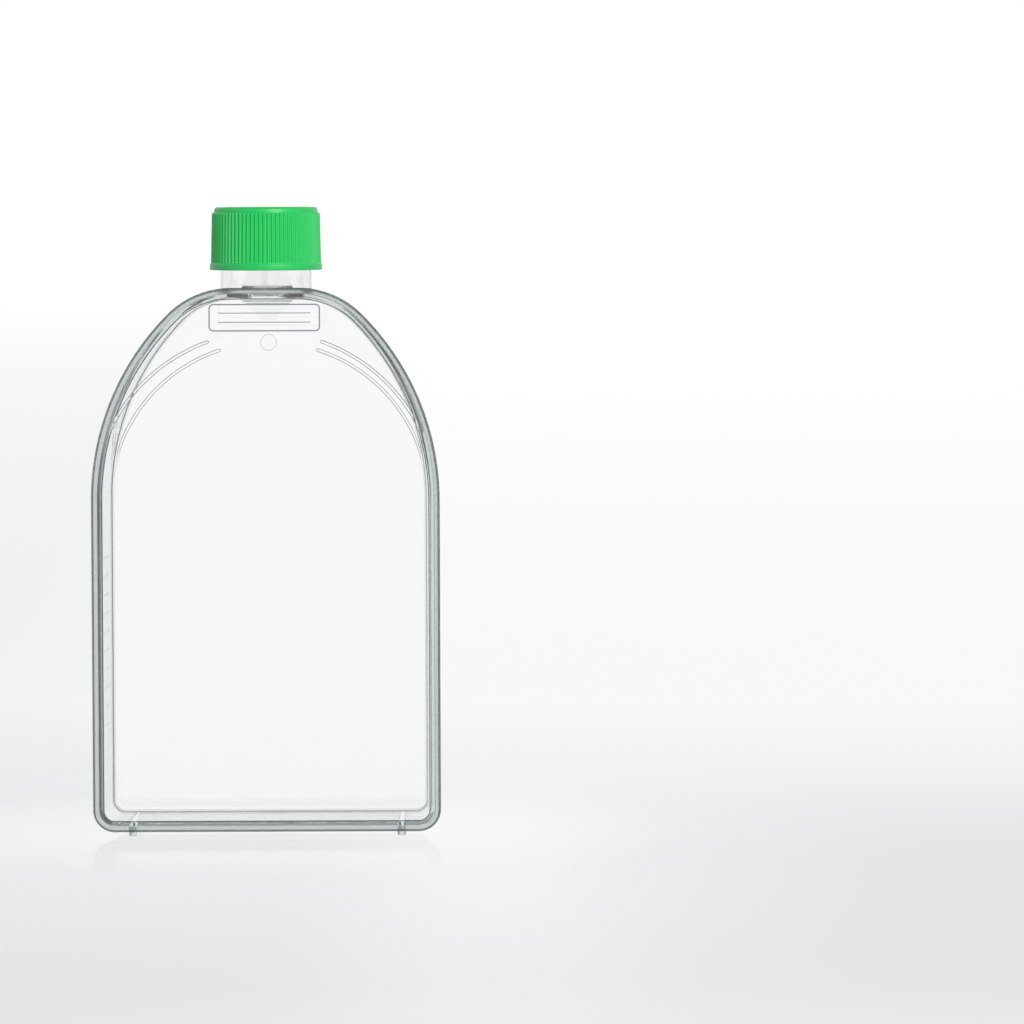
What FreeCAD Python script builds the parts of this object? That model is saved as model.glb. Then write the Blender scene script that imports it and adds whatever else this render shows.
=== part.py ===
import FreeCAD, Part
import math
import os
import Sketcher
from FreeCAD import Placement, Rotation, Vector

# Cell culture flask, standing on its end with the cap up.
#
# Frame: origin on the floor below the neck's axis, +Z up along the neck, +X to the right across the
# flask, and the top plate on the -Y side. "front" is a distance from the neck's axis towards -Y.
# Millimetres and degrees throughout.

doc = FreeCAD.newDocument("culture_flask")

# ---------------------------------------------------------------- driving sizes

SIZES = [
    ("body_wide", 119.0, "width over the top plate's rim"),
    ("body_tall", 186.0, "height of the top plate, end to shoulder"),
    ("neck_margin", 4.1, "depth of the body beyond the neck, each side"),
    ("big_arc", 90.0, "radius of the long shoulder curve"),
    ("small_arc", 30.5, "radius of the tight shoulder curve"),
    ("corner_arc", 7.5, "radius of the bottom corners"),
    ("foot_drop", 1.5, "how far the end feet stand below the rim"),
    ("growth_plate", 1.5, "thickness of the growth plate"),
    ("side_wall", 1.4, "thickness of the side walls"),
    ("wall_draft", 2.65, "moulding draft of the side walls, degrees; the end walls have none"),
    ("back_ease", 0.4, "bevel round the base rim's outer edge"),
    ("chamber_ease", 0.8, "bevel where the growth plate meets the walls"),
    ("flange_thick", 0.8, "thickness of the tray's weld flange"),
    ("flange_inset", 0.25, "flange edge inside the skirt's edge"),
    ("lid_plate", 1.5, "thickness of the top plate's window"),
    ("skirt_wall", 1.9, "thickness of the top plate's skirt"),
    ("skirt_deep", 3.2, "depth of the skirt from the bead's crest"),
    ("bead_wide", 3.8, "width of the raised bead round the window"),
    ("bead_proud", 0.6, "height of the bead and of the stacking ribs"),
    ("bead_round", 0.5, "rounding of the bead's edges"),
    ("stack_rib_wide", 1.2, "width of a stacking rib"),
    ("lid_rib_inset", 1.1, "stacking arc on the top plate, inside the body's half width"),
    ("lid_rib_drop", 15.0, "crown of that arc below the body's top"),
    ("lid_rib_end", 19.5, "upper end of that arc from the middle"),
    ("lid_rib_fall", 34.0, "lower end of that arc below its crown"),
    ("base_rib_inset", 4.2, "stacking arc under the growth plate, inside the half width"),
    ("base_rib_drop", 19.6, "crown of that arc below the body's top"),
    ("base_rib_end", 17.1, "upper end of that arc from the middle"),
    ("base_rib_fall", 44.0, "lower end of that arc below its crown"),
    ("gate_pip_wide", 5.6, "diameter of the gate pip under the growth plate"),
    ("gate_pip_proud", 0.35, "height of the gate pip"),
    ("end_foot_place", 46.0, "end foot from the middle"),
    ("end_foot_wide", 2.8, "end foot width at the flange"),
    ("end_foot_thin", 1.8, "end foot width at the growth plate"),
    ("neck_bore", 26.8, "bore of the neck"),
    ("neck_wall", 2.2, "wall of the neck"),
    ("neck_root", 8.0, "how deep the neck's post starts inside the chamber, before it is cut"),
    ("neck_flare", 0.7, "flare where the neck meets the body"),
    ("neck_lip", 0.7, "rounding of the mouth"),
    ("dam_step", 4.8, "rise of the anti-spill dam into the neck's bore"),
    ("dam_face", 0.6, "upright face of the dam, from the chamber's ceiling to its crest"),
    ("dam_slope", 11.5, "height of the dam's slope, from its crest up the bore"),
    ("ramp_foot_wide", 3.0, "width of the ramp's foot on the growth plate"),
    ("thread_pitch", 4.0, "screw pitch, one start"),
    ("thread_deep", 1.1, "height of a thread ridge"),
    ("thread_root", 1.7, "width of a thread ridge at its root"),
    ("thread_tip", 0.7, "width of a thread ridge at its tip"),
    ("thread_turns", 2.0, "turns of thread on the neck"),
    ("thread_start", 12.0, "start of the neck's thread below the mouth"),
    ("thread_gap", 0.15, "play between the two threads, along the axis"),
    ("thread_play", 0.4, "radial play over the thread's tips"),
    ("cap_turns", 1.25, "turns of thread in the cap"),
    ("cap_gap", 5.9, "cap above the body's top"),
    ("cap_tall", 21.5, "height of the cap"),
    ("cap_wall", 1.3, "wall of the cap below the grip ribs"),
    ("cap_roof", 1.6, "roof of the cap"),
    ("cap_rim_proud", 0.7, "raised edge round the cap's roof"),
    ("cap_rim_wide", 2.2, "width of that raised edge"),
    ("cap_bevel_wide", 1.2, "bevel at the top of the grip, across"),
    ("cap_bevel_tall", 1.9, "bevel at the top of the grip, along"),
    ("grip_rib_deep", 0.5, "depth of the grooves between the grip ribs"),
    ("grip_rib_count", 80.0, "grip ribs round the cap"),
    ("grip_rib_duty", 0.5, "groove's share of a rib's pitch"),
    ("cap_band_tall", 2.0, "plain band at the cap's lower edge"),
    ("cap_band_proud", 0.4, "band beyond the grip ribs"),
    ("roof_boss_wide", 24.6, "diameter of the raised disc on the roof"),
    ("roof_boss_proud", 0.35, "height of the raised disc"),
    ("vent_hole", 2.0, "diameter of a vent hole"),
    ("vent_ring", 11.4, "diameter of the ring of vent holes"),
    ("vent_count", 6.0, "vent holes"),
    ("plug_wall", 1.2, "wall of the cap's plug ring"),
    ("plug_deep", 3.0, "length of the plug ring"),
    ("plug_gap", 0.08, "radial running clearance of the plug ring in the bore"),
    ("seal_gap", 0.1, "gap between the mouth and the cap's roof"),
    ("weld_ring_wide", 1.6, "width of the ring that the membrane is welded to"),
    ("weld_ring_proud", 0.5, "height of that ring below the roof"),
    ("membrane_thick", 0.25, "thickness of the vent membrane"),
    ("membrane_gap", 0.4, "membrane's edge to the plug ring"),
]

sheet = doc.addObject("Spreadsheet::Sheet", "Sizes")
for row, (alias, value, meaning) in enumerate(SIZES, start=1):
    sheet.set(f"A{row}", meaning)
    sheet.set(f"B{row}", str(value))
    sheet.setAlias(f"B{row}", alias)
doc.recompute()

# ---------------------------------------------------------------- sizes that follow from them

HALF_WIDE = "Sizes.body_wide / 2"
HALF_DEEP = "(Sizes.neck_bore / 2 + Sizes.neck_wall + Sizes.neck_margin)"
BODY_TOP = "(Sizes.foot_drop + Sizes.body_tall)"

SKIRT_EDGE = f"({HALF_DEEP} - Sizes.skirt_deep)"
LID_FACE = f"({HALF_DEEP} - Sizes.bead_proud)"
TRAY_EDGE = f"({LID_FACE} - Sizes.lid_plate)"
TRAY_BACK = f"({HALF_DEEP} - Sizes.bead_proud)"
TRAY_DEEP = f"({TRAY_EDGE} + {TRAY_BACK})"
CHAMBER_DEEP = f"({TRAY_DEEP} - Sizes.growth_plate)"
INNER_INSET = "(Sizes.skirt_wall + Sizes.side_wall)"

BORE_R = "(Sizes.neck_bore / 2)"
NECK_R = "(Sizes.neck_bore / 2 + Sizes.neck_wall)"
CHAMBER_TOP = f"({BODY_TOP} - {INNER_INSET})"
CAP_FOOT = f"({BODY_TOP} + Sizes.cap_gap)"
CAP_TOP = f"({CAP_FOOT} + Sizes.cap_tall)"
ROOF_TOP = f"({CAP_TOP} - Sizes.cap_rim_proud)"
ROOF_UNDER = f"({ROOF_TOP} - Sizes.cap_roof)"
MOUTH = f"({ROOF_UNDER} - Sizes.seal_gap)"

CAP_INNER_R = f"({NECK_R} + Sizes.thread_deep + Sizes.thread_play)"
GROOVE_R = f"({CAP_INNER_R} + Sizes.cap_wall)"
GRIP_R = f"({GROOVE_R} + Sizes.grip_rib_deep)"
BAND_R = f"({GRIP_R} + Sizes.cap_band_proud)"
GRIP_FOOT = f"({CAP_FOOT} + Sizes.cap_band_tall + Sizes.cap_band_proud)"
PLUG_R = f"({BORE_R} - Sizes.plug_gap)"
MEMBRANE_R = f"({PLUG_R} - Sizes.plug_wall - Sizes.membrane_gap)"
MEMBRANE_TOP = f"({ROOF_UNDER} - Sizes.weld_ring_proud)"

NECK_THREAD_FOOT = f"({MOUTH} - Sizes.thread_start)"
FLANK_STEP = (
    "(Sizes.thread_root - (Sizes.thread_deep + Sizes.thread_play)"
    " * (Sizes.thread_root - Sizes.thread_tip) / (2 * Sizes.thread_deep) + Sizes.thread_gap)"
)
CAP_THREAD_FOOT = f"({NECK_THREAD_FOOT} - {FLANK_STEP})"


def value_of(expression):
    """The number that an expression gives with the sheet's present values."""
    return float(sheet.evalExpression(str(expression)))


# ---------------------------------------------------------------- sketching


def new_body(name):
    body = doc.addObject("PartDesign::Body", name)
    body.Label = name
    return body


def origin_item(body, role):
    """One of the body's own planes or axes."""
    return next(item for item in body.Origin.OriginFeatures if item.Role == role)


def sketch_on(body, name, role, offset="0"):
    """An empty sketch on one of the body's own planes, moved off it by an expression."""
    sketch = body.newObject("Sketcher::SketchObject", name)
    sketch.AttachmentSupport = (origin_item(body, role), [""])
    sketch.MapMode = "FlatFace"
    sketch.AttachmentOffset = Placement(Vector(0, 0, value_of(offset)), Rotation())
    sketch.setExpression("AttachmentOffset.Base.z", offset)
    return sketch


def bind(sketch, constraint, name, expression):
    """Add a measured constraint, name it and tie it to the sheet."""
    index = sketch.addConstraint(constraint)
    sketch.renameConstraint(index, name)
    sketch.setExpression(f"Constraints.{name}", expression)


def place_point(sketch, edge, end, name, across, up):
    """Tie one end of an edge to expressions for its two sketch coordinates."""
    for axis, expression in (("X", across), ("Y", up)):
        number = value_of(expression)
        constraint = Sketcher.Constraint(f"Distance{axis}", -1, 1, edge, end, number)
        bind(sketch, constraint, f"{name}_{axis.lower()}", expression)


def draw_polygon(sketch, corners):
    """A closed polygon whose corners are pairs of expressions."""
    points = [Vector(value_of(across), value_of(up), 0) for across, up in corners]
    count = len(points)
    lines = [Part.LineSegment(points[i], points[(i + 1) % count]) for i in range(count)]
    sketch.addGeometry(lines, False)
    for i in range(count):
        sketch.addConstraint(Sketcher.Constraint("Coincident", i, 2, (i + 1) % count, 1))
    for i, (across, up) in enumerate(corners):
        place_point(sketch, i, 1, f"corner{i}", across, up)
    return sketch


def arc_about(centre, radius, start, end):
    circle = Part.Circle(Vector(centre[0], centre[1], 0), Vector(0, 0, 1), radius)
    return Part.ArcOfCircle(circle, math.radians(start), math.radians(end))


def draw_outline(sketch, inset, squeeze="0"):
    """The flask's outline, inside the rim's edge by an inset, and narrower by a squeeze each side."""
    half_wide = f"({HALF_WIDE} - {squeeze})"
    half = value_of(f"{half_wide} - {inset}")
    big = value_of(f"Sizes.big_arc - {inset}")
    small = value_of(f"Sizes.small_arc - {inset}")
    corner = value_of(f"Sizes.corner_arc - {inset}")
    low_edge = f"Sizes.foot_drop + {inset}"
    top_edge = f"{BODY_TOP} - {inset}"
    flat_half = f"{half_wide} - Sizes.big_arc + (Sizes.big_arc - Sizes.small_arc) * cos(45)"

    low, top, flat = value_of(low_edge), value_of(top_edge), value_of(flat_half)
    side_low = value_of("Sizes.foot_drop + Sizes.corner_arc")
    side_top = top - small - (big - small) * math.sin(math.radians(45))
    corner_x = half - corner
    big_x = half - big

    first = len(sketch.Geometry)
    sketch.addGeometry(
        [
            Part.LineSegment(Vector(-corner_x, low, 0), Vector(corner_x, low, 0)),
            arc_about((corner_x, side_low), corner, -90, 0),
            Part.LineSegment(Vector(half, side_low, 0), Vector(half, side_top, 0)),
            arc_about((big_x, side_top), big, 0, 45),
            arc_about((flat, top - small), small, 45, 90),
            Part.LineSegment(Vector(flat, top, 0), Vector(-flat, top, 0)),
            arc_about((-flat, top - small), small, 90, 135),
            arc_about((-big_x, side_top), big, 135, 180),
            Part.LineSegment(Vector(-half, side_top, 0), Vector(-half, side_low, 0)),
            arc_about((-corner_x, side_low), corner, 180, 270),
        ],
        False,
    )
    floor, right, ceiling, left = first, first + 2, first + 5, first + 8
    for i in range(10):
        here, after = first + i, first + (i + 1) % 10
        sketch.addConstraint(Sketcher.Constraint("Tangent", here, 2, after, 1))
    for edge in (floor, ceiling):
        sketch.addConstraint(Sketcher.Constraint("Horizontal", edge))
    for edge in (right, left):
        sketch.addConstraint(Sketcher.Constraint("Vertical", edge))

    arcs = (("corner", (1, 9), corner), ("big", (3, 7), big), ("small", (4, 6), small))
    for name, pair, radius in arcs:
        for side, offset in zip(("right", "left"), pair):
            constraint = Sketcher.Constraint("Radius", first + offset, radius)
            bind(sketch, constraint, f"{name}_{side}_{first}", f"Sizes.{name}_arc - {inset}")
    for name, edge, way in (("half_right", right, 1), ("half_left", left, -1)):
        constraint = Sketcher.Constraint("DistanceX", -1, 1, edge, 1, way * half)
        bind(sketch, constraint, f"{name}_{first}", f"{way} * ({half_wide} - {inset})")
    for name, edge, height, expression in (("low", floor, low, low_edge), ("top", ceiling, top, top_edge)):
        constraint = Sketcher.Constraint("DistanceY", -1, 1, edge, 1, height)
        bind(sketch, constraint, f"{name}_{first}", expression)
    for name, end, way in (("flat_right", 1, 1), ("flat_left", 2, -1)):
        constraint = Sketcher.Constraint("DistanceX", -1, 1, ceiling, end, way * flat)
        bind(sketch, constraint, f"{name}_{first}", f"{way} * ({flat_half})")
    return sketch


def draw_arc_rib(sketch, way, rib):
    """One curved rib with round ends: concentric with its twin, from beside the neck down one side."""
    drop, end_across, fall = f"Sizes.{rib}_drop", f"Sizes.{rib}_end", f"Sizes.{rib}_fall"
    radius_words = f"({HALF_WIDE} - Sizes.{rib}_inset)"
    height_words = f"({BODY_TOP} - {drop} - {radius_words})"
    radius, height = value_of(radius_words), value_of(height_words)
    half_rib = value_of("Sizes.stack_rib_wide / 2")
    across, lowest = value_of(end_across), value_of(f"{BODY_TOP} - {drop} - {fall}")

    high_angle = math.degrees(math.acos(across / radius))
    low_angle = math.degrees(math.asin((lowest - height) / radius))
    start, end = (low_angle, high_angle) if way > 0 else (180 - high_angle, 180 - low_angle)

    def on_arc(angle):
        turn = math.radians(angle)
        return radius * math.cos(turn), height + radius * math.sin(turn)

    first = len(sketch.Geometry)
    sketch.addGeometry(
        [
            arc_about((0, height), radius + half_rib, start, end),
            arc_about(on_arc(end), half_rib, end, end + 180),
            arc_about((0, height), radius - half_rib, start, end),
            arc_about(on_arc(start), half_rib, start + 180, start + 360),
        ],
        False,
    )
    outer, end_cap, inner, start_cap = range(first, first + 4)
    for join in (
        (outer, 2, end_cap, 1),
        (end_cap, 2, inner, 2),
        (inner, 1, start_cap, 1),
        (start_cap, 2, outer, 1),
    ):
        sketch.addConstraint(Sketcher.Constraint("Tangent", *join))
    sketch.addConstraint(Sketcher.Constraint("Coincident", outer, 3, inner, 3))
    sketch.addConstraint(Sketcher.Constraint("PointOnObject", outer, 3, -2))
    constraint = Sketcher.Constraint("DistanceY", -1, 1, outer, 3, height)
    bind(sketch, constraint, f"height_{first}", height_words)
    for name, edge, sign in (("outer", outer, 1), ("inner", inner, -1)):
        constraint = Sketcher.Constraint("Radius", edge, radius + sign * half_rib)
        bind(sketch, constraint, f"{name}_{first}", f"{radius_words} + {sign} * Sizes.stack_rib_wide / 2")
    high_cap, low_cap = (end_cap, start_cap) if way > 0 else (start_cap, end_cap)
    constraint = Sketcher.Constraint("DistanceX", -1, 1, high_cap, 3, way * across)
    bind(sketch, constraint, f"across_{first}", f"{way} * {end_across}")
    constraint = Sketcher.Constraint("DistanceY", -1, 1, low_cap, 3, lowest)
    bind(sketch, constraint, f"lowest_{first}", f"{BODY_TOP} - {drop} - {fall}")
    return sketch


def draw_circle(sketch, across, up, diameter):
    centre = Vector(value_of(across), value_of(up), 0)
    index = sketch.addGeometry(Part.Circle(centre, Vector(0, 0, 1), value_of(diameter) / 2), False)
    bind(sketch, Sketcher.Constraint("Diameter", index, value_of(diameter)), f"wide_{index}", diameter)
    place_point(sketch, index, 3, f"centre{index}", across, up)
    return sketch


# ---------------------------------------------------------------- features


def pad(body, name, sketch, length, backwards=False, kind="Pad"):
    """Pad or pocket a sketch by an expression."""
    feature = body.newObject(f"PartDesign::{kind}", name)
    feature.Profile = sketch
    feature.Length = value_of(length)
    feature.setExpression("Length", length)
    feature.Reversed = backwards
    feature.Refine = False
    sketch.Visibility = False
    return feature


def pocket(body, name, sketch, length, backwards=False):
    return pad(body, name, sketch, length, backwards, kind="Pocket")


def turned(body, name, sketch, kind="Revolution"):
    """Turn a profile drawn on the XZ plane about the sketch's own upright axis."""
    feature = body.newObject(f"PartDesign::{kind}", name)
    feature.Profile = sketch
    feature.ReferenceAxis = (sketch, ["V_Axis"])
    feature.Angle = 360
    feature.Refine = False
    return feature


def ridge(body, name, root_r, tip_r, foot, turns):
    """A helical thread ridge whose root is sunk a little into its wall."""
    sink = "0.2" if value_of(tip_r) > value_of(root_r) else "-0.2"
    half_root, half_tip = "Sizes.thread_root / 2", "Sizes.thread_tip / 2"
    sketch = sketch_on(body, f"{name}_profile", "XZ_Plane")
    draw_polygon(
        sketch,
        [
            (f"{root_r} - {sink}", f"{foot} - {half_root}"),
            (root_r, f"{foot} - {half_root}"),
            (tip_r, f"{foot} - {half_tip}"),
            (tip_r, f"{foot} + {half_tip}"),
            (root_r, f"{foot} + {half_root}"),
            (f"{root_r} - {sink}", f"{foot} + {half_root}"),
        ],
    )
    helix = body.newObject("PartDesign::AdditiveHelix", name)
    helix.Profile = sketch
    helix.ReferenceAxis = (sketch, ["V_Axis"])
    helix.Mode = "pitch-turns-angle"
    helix.Pitch = value_of("Sizes.thread_pitch")
    helix.setExpression("Pitch", "Sizes.thread_pitch")
    helix.Turns = value_of(turns)
    helix.setExpression("Turns", turns)
    helix.Refine = False
    return helix


def loft(body, name, start, *sections):
    """Straight-sided solid from one sketch through others."""
    feature = body.newObject("PartDesign::AdditiveLoft", name)
    feature.Profile = start
    feature.Sections = list(sections)
    feature.Ruled = True
    feature.Closed = False
    return feature


def rounded(body, name, radius, wanted):
    """Fillet the edges of the body's present shape that a test picks out."""
    doc.recompute()
    base = body.Tip
    names = [f"Edge{i}" for i, edge in enumerate(base.Shape.Edges, start=1) if wanted(edge)]
    if not names:
        raise RuntimeError(f"{name}: no edge to round")
    feature = body.newObject("PartDesign::Fillet", name)
    feature.Base = (base, names)
    feature.Radius = value_of(radius)
    feature.setExpression("Radius", radius)
    return feature


def box_of(item):
    box = item.BoundBox
    return box.XMin, box.XMax, box.YMin, box.YMax, box.ZMin, box.ZMax


def lies_at_y(item, level):
    """True for an edge or a face that lies flat at one Y."""
    _, _, low, high, _, _ = box_of(item)
    return abs(low - level) < 0.01 and abs(high - level) < 0.01


def follows(edge, sketch):
    """True for an edge that runs over a sketch's own line, seen along Y."""
    middle = edge.valueAt((edge.FirstParameter + edge.LastParameter) / 2)
    middle.y = sketch.Placement.Base.y
    return sketch.Shape.distToShape(Part.Vertex(middle))[0] < 0.01


def is_ring_at(edge, height, radius):
    """True for an edge that circles the neck's axis at a height."""
    left, right, _, _, low, high = box_of(edge)
    level = abs(low - height) < 0.01 and abs(high - height) < 0.01
    return level and abs(right - radius) < 0.02 and abs(left + radius) < 0.02


def squeeze_at(depth):
    """How much the walls' draft narrows each side at a depth behind the tray's front edge."""
    return f"({depth} * tan(Sizes.wall_draft))"


def drafted_block(body, name, inset, depth, ease):
    """A block on the flask's outline, narrowed backwards by the side walls' draft, its back edge eased."""
    sections = []
    for place, deep, edge_inset in (
        ("front", "0", inset),
        ("heel", f"({depth} - {ease})", inset),
        ("back", depth, f"({inset} + {ease})"),
    ):
        sketch = sketch_on(body, f"{name}_{place}", "XZ_Plane", f"({TRAY_EDGE} - {deep})")
        sections.append(draw_outline(sketch, edge_inset, squeeze_at(deep)))
    return loft(body, name, *sections)


# ---------------------------------------------------------------- chamber core
# The space inside the tray, cut from the flask body below. It has the walls' draft, and its back edge
# is eased where the walls meet the growth plate.

core = new_body("chamber_core")
drafted_block(core, "chamber", INNER_INSET, CHAMBER_DEEP, "Sizes.chamber_ease")

# ---------------------------------------------------------------- flask body
# One injection moulding: the growth plate, walls that pass it as a low base rim and carry a weld flange
# round their front edge, the threaded neck, and the anti-spill dam with its ramp.

tray = new_body("flask_body")
drafted_block(tray, "tray_block", "Sizes.skirt_wall", f"({TRAY_EDGE} + {HALF_DEEP})", "Sizes.back_ease")

sketch = draw_outline(sketch_on(tray, "flange_outline", "XZ_Plane", SKIRT_EDGE), "Sizes.flange_inset")
pad(tray, "weld_flange", sketch, "Sizes.flange_thick", backwards=True)

# The neck starts as a solid post sunk into the block; the chamber and the bore are cut after it.
WALL_TOP = f"({BODY_TOP} - Sizes.skirt_wall)"
NECK_ROOT = f"({CHAMBER_TOP} - Sizes.neck_root)"
sketch = draw_polygon(
    sketch_on(tray, "neck_profile", "XZ_Plane"),
    [
        ("0", NECK_ROOT),
        (NECK_R, NECK_ROOT),
        (NECK_R, f"{WALL_TOP} - Sizes.side_wall / 2"),
        (f"{NECK_R} + Sizes.neck_flare", f"{WALL_TOP} - Sizes.side_wall / 2"),
        (f"{NECK_R} + Sizes.neck_flare", WALL_TOP),
        (NECK_R, f"{WALL_TOP} + 1.5 * Sizes.neck_flare"),
        (NECK_R, MOUTH),
        ("0", MOUTH),
    ],
)
turned(tray, "neck_post", sketch)

# Two feet run across the end wall. They thin towards the growth plate and reach the floor. Each is an
# upright bar that ends inside the wall.
FOOT_FRONT = f"({SKIRT_EDGE} - Sizes.flange_thick / 2)"
FOOT_BACK = f"({TRAY_BACK} - Sizes.back_ease)"
sketch = draw_polygon(
    sketch_on(tray, "end_foot_outline", "XY_Plane"),
    [
        ("Sizes.end_foot_place - Sizes.end_foot_wide / 2", f"-{FOOT_FRONT}"),
        ("Sizes.end_foot_place + Sizes.end_foot_wide / 2", f"-{FOOT_FRONT}"),
        ("Sizes.end_foot_place + Sizes.end_foot_thin / 2", FOOT_BACK),
        ("Sizes.end_foot_place - Sizes.end_foot_thin / 2", FOOT_BACK),
    ],
)
foot = pad(tray, "end_foot", sketch, "Sizes.foot_drop + Sizes.skirt_wall + Sizes.side_wall / 2")
doc.recompute()
second_foot = tray.newObject("PartDesign::Mirrored", "second_foot")
second_foot.Originals = [foot]
second_foot.MirrorPlane = (origin_item(tray, "YZ_Plane"), [""])
tray.Tip = second_foot

cut = tray.newObject("PartDesign::Boolean", "chamber_cut")
cut.Type = "Cut"
cut.addObjects([core])
tray.Tip = cut

sketch = draw_polygon(
    sketch_on(tray, "bore_profile", "XZ_Plane"),
    [
        ("0", NECK_ROOT),
        (BORE_R, NECK_ROOT),
        (BORE_R, f"{MOUTH} + 1"),
        ("0", f"{MOUTH} + 1"),
    ],
)
turned(tray, "neck_bore_cut", sketch, kind="Groove")


def draw_segment(sketch, radius, chord):
    """The part of a disc beyond a chord that runs along X."""
    reach, level = value_of(radius), value_of(chord)
    angle = math.degrees(math.asin(level / reach))
    half = math.sqrt(reach**2 - level**2)
    line = Part.LineSegment(Vector(-half, level, 0), Vector(half, level, 0))
    sketch.addGeometry([arc_about((0, 0), reach, angle, 180 - angle), line], False)
    sketch.addConstraint(Sketcher.Constraint("Coincident", 0, 2, 1, 1))
    sketch.addConstraint(Sketcher.Constraint("Coincident", 1, 2, 0, 1))
    sketch.addConstraint(Sketcher.Constraint("Coincident", 0, 3, -1, 1))
    sketch.addConstraint(Sketcher.Constraint("Horizontal", 1))
    bind(sketch, Sketcher.Constraint("Radius", 0, reach), "reach", radius)
    bind(sketch, Sketcher.Constraint("DistanceY", -1, 1, 1, 1, level), "chord", chord)
    return sketch


# The dam stops the medium running into the neck when the flask lies on its growth plate: an upright
# face across the bore, a slope from its crest up the bore, and a ramp that falls from its foot to the
# growth plate, drawn in on both sides.
DAM_R = f"({BORE_R} + Sizes.neck_wall / 2)"
DAM_CREST = f"({BORE_R} - Sizes.dam_step)"
CREST_UP = f"({CHAMBER_TOP} + Sizes.dam_face)"
dam_foot = draw_segment(sketch_on(tray, "dam_foot", "XY_Plane", CHAMBER_TOP), DAM_R, DAM_CREST)
dam_crest = draw_segment(sketch_on(tray, "dam_crest", "XY_Plane", CREST_UP), DAM_R, DAM_CREST)
dam_toe = draw_segment(sketch_on(tray, "dam_toe", "XY_Plane", f"{CREST_UP} + Sizes.dam_slope"), DAM_R, BORE_R)
loft(tray, "neck_dam", dam_foot, dam_crest, dam_toe)

PLATE_FACE = f"({TRAY_BACK} - Sizes.growth_plate)"
PLATE_MIDDLE = f"({TRAY_BACK} - Sizes.growth_plate / 2)"
CREST_HALF = f"sqrt(({BORE_R})^2 - ({DAM_CREST})^2)"
RAMP_HALF = "(Sizes.ramp_foot_wide / 2)"
ramp_top = draw_polygon(
    sketch_on(tray, "ramp_top", "XY_Plane", f"{CHAMBER_TOP} + Sizes.dam_face / 2"),
    [
        (f"-{CREST_HALF}", DAM_CREST),
        (CREST_HALF, DAM_CREST),
        (CREST_HALF, PLATE_MIDDLE),
        (f"-{CREST_HALF}", PLATE_MIDDLE),
    ],
)
ramp_foot = draw_polygon(
    sketch_on(tray, "ramp_foot", "XY_Plane", f"{CHAMBER_TOP} - ({PLATE_FACE} - {DAM_CREST})"),
    [
        (f"-{RAMP_HALF}", PLATE_FACE),
        (RAMP_HALF, PLATE_FACE),
        (RAMP_HALF, PLATE_MIDDLE),
        (f"-{RAMP_HALF}", PLATE_MIDDLE),
    ],
)
loft(tray, "chamber_ramp", ramp_foot, ramp_top)

# Under the growth plate, inside the base rim: two stacking arcs, and the pip that the mould's gate leaves.
UNDERSIDE = f"(-{TRAY_BACK})"
sketch = sketch_on(tray, "underside_outline", "XZ_Plane", f"(-{HALF_DEEP})")
draw_outline(sketch, INNER_INSET, squeeze_at(TRAY_DEEP))
pocket(tray, "underside_recess", sketch, "Sizes.bead_proud", backwards=True)

sketch = sketch_on(tray, "base_arcs", "XZ_Plane", UNDERSIDE)
for way in (1, -1):
    draw_arc_rib(sketch, way, "base_rib")
pad(tray, "base_ribs", sketch, "Sizes.bead_proud", backwards=True)

sketch = sketch_on(tray, "gate_pip_circle", "XZ_Plane", UNDERSIDE)
draw_circle(sketch, "0", f"{BODY_TOP} - Sizes.base_rib_drop", "Sizes.gate_pip_wide")
pad(tray, "gate_pip", sketch, "Sizes.gate_pip_proud", backwards=True)

THREAD_TIP_R = f"({NECK_R} + Sizes.thread_deep)"
ridge(tray, "neck_thread", NECK_R, THREAD_TIP_R, NECK_THREAD_FOOT, "Sizes.thread_turns")
lip_rings = [(value_of(MOUTH), value_of(radius)) for radius in (BORE_R, NECK_R)]
rounded(tray, "mouth_lip", "Sizes.neck_lip", lambda edge: any(is_ring_at(edge, *ring) for ring in lip_rings))

# ---------------------------------------------------------------- top plate
# One moulding: a flat window inside a raised bead, and a short skirt that drops over the tray's front
# edge and is welded to it. Two arcs on the window line up with the arcs under the next flask.

lid = new_body("top_plate")
rim_line = draw_outline(sketch_on(lid, "lid_outline", "XZ_Plane", SKIRT_EDGE), "0")
pad(lid, "lid_block", rim_line, "Sizes.skirt_deep")

sketch = draw_outline(sketch_on(lid, "skirt_inner", "XZ_Plane", SKIRT_EDGE), "Sizes.skirt_wall")
pocket(lid, "skirt_hollow", sketch, f"{TRAY_EDGE} - {SKIRT_EDGE}", backwards=True)

sketch = draw_outline(sketch_on(lid, "window_outline", "XZ_Plane", HALF_DEEP), "Sizes.bead_wide")
pocket(lid, "window_recess", sketch, "Sizes.bead_proud")

sketch = sketch_on(lid, "lid_arcs", "XZ_Plane", LID_FACE)
for way in (1, -1):
    draw_arc_rib(sketch, way, "lid_rib")
pad(lid, "lid_ribs", sketch, "Sizes.bead_proud")

rounded(
    lid,
    "bead_edge",
    "Sizes.bead_round",
    lambda edge: lies_at_y(edge, value_of(f"-{HALF_DEEP}")) and follows(edge, rim_line),
)

# ---------------------------------------------------------------- screw cap
# Turned here, though the real one is moulded: a shell with a plug ring that enters the bore and a weld
# ring for the membrane, then grip grooves, vent holes and the inside thread.

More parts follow.
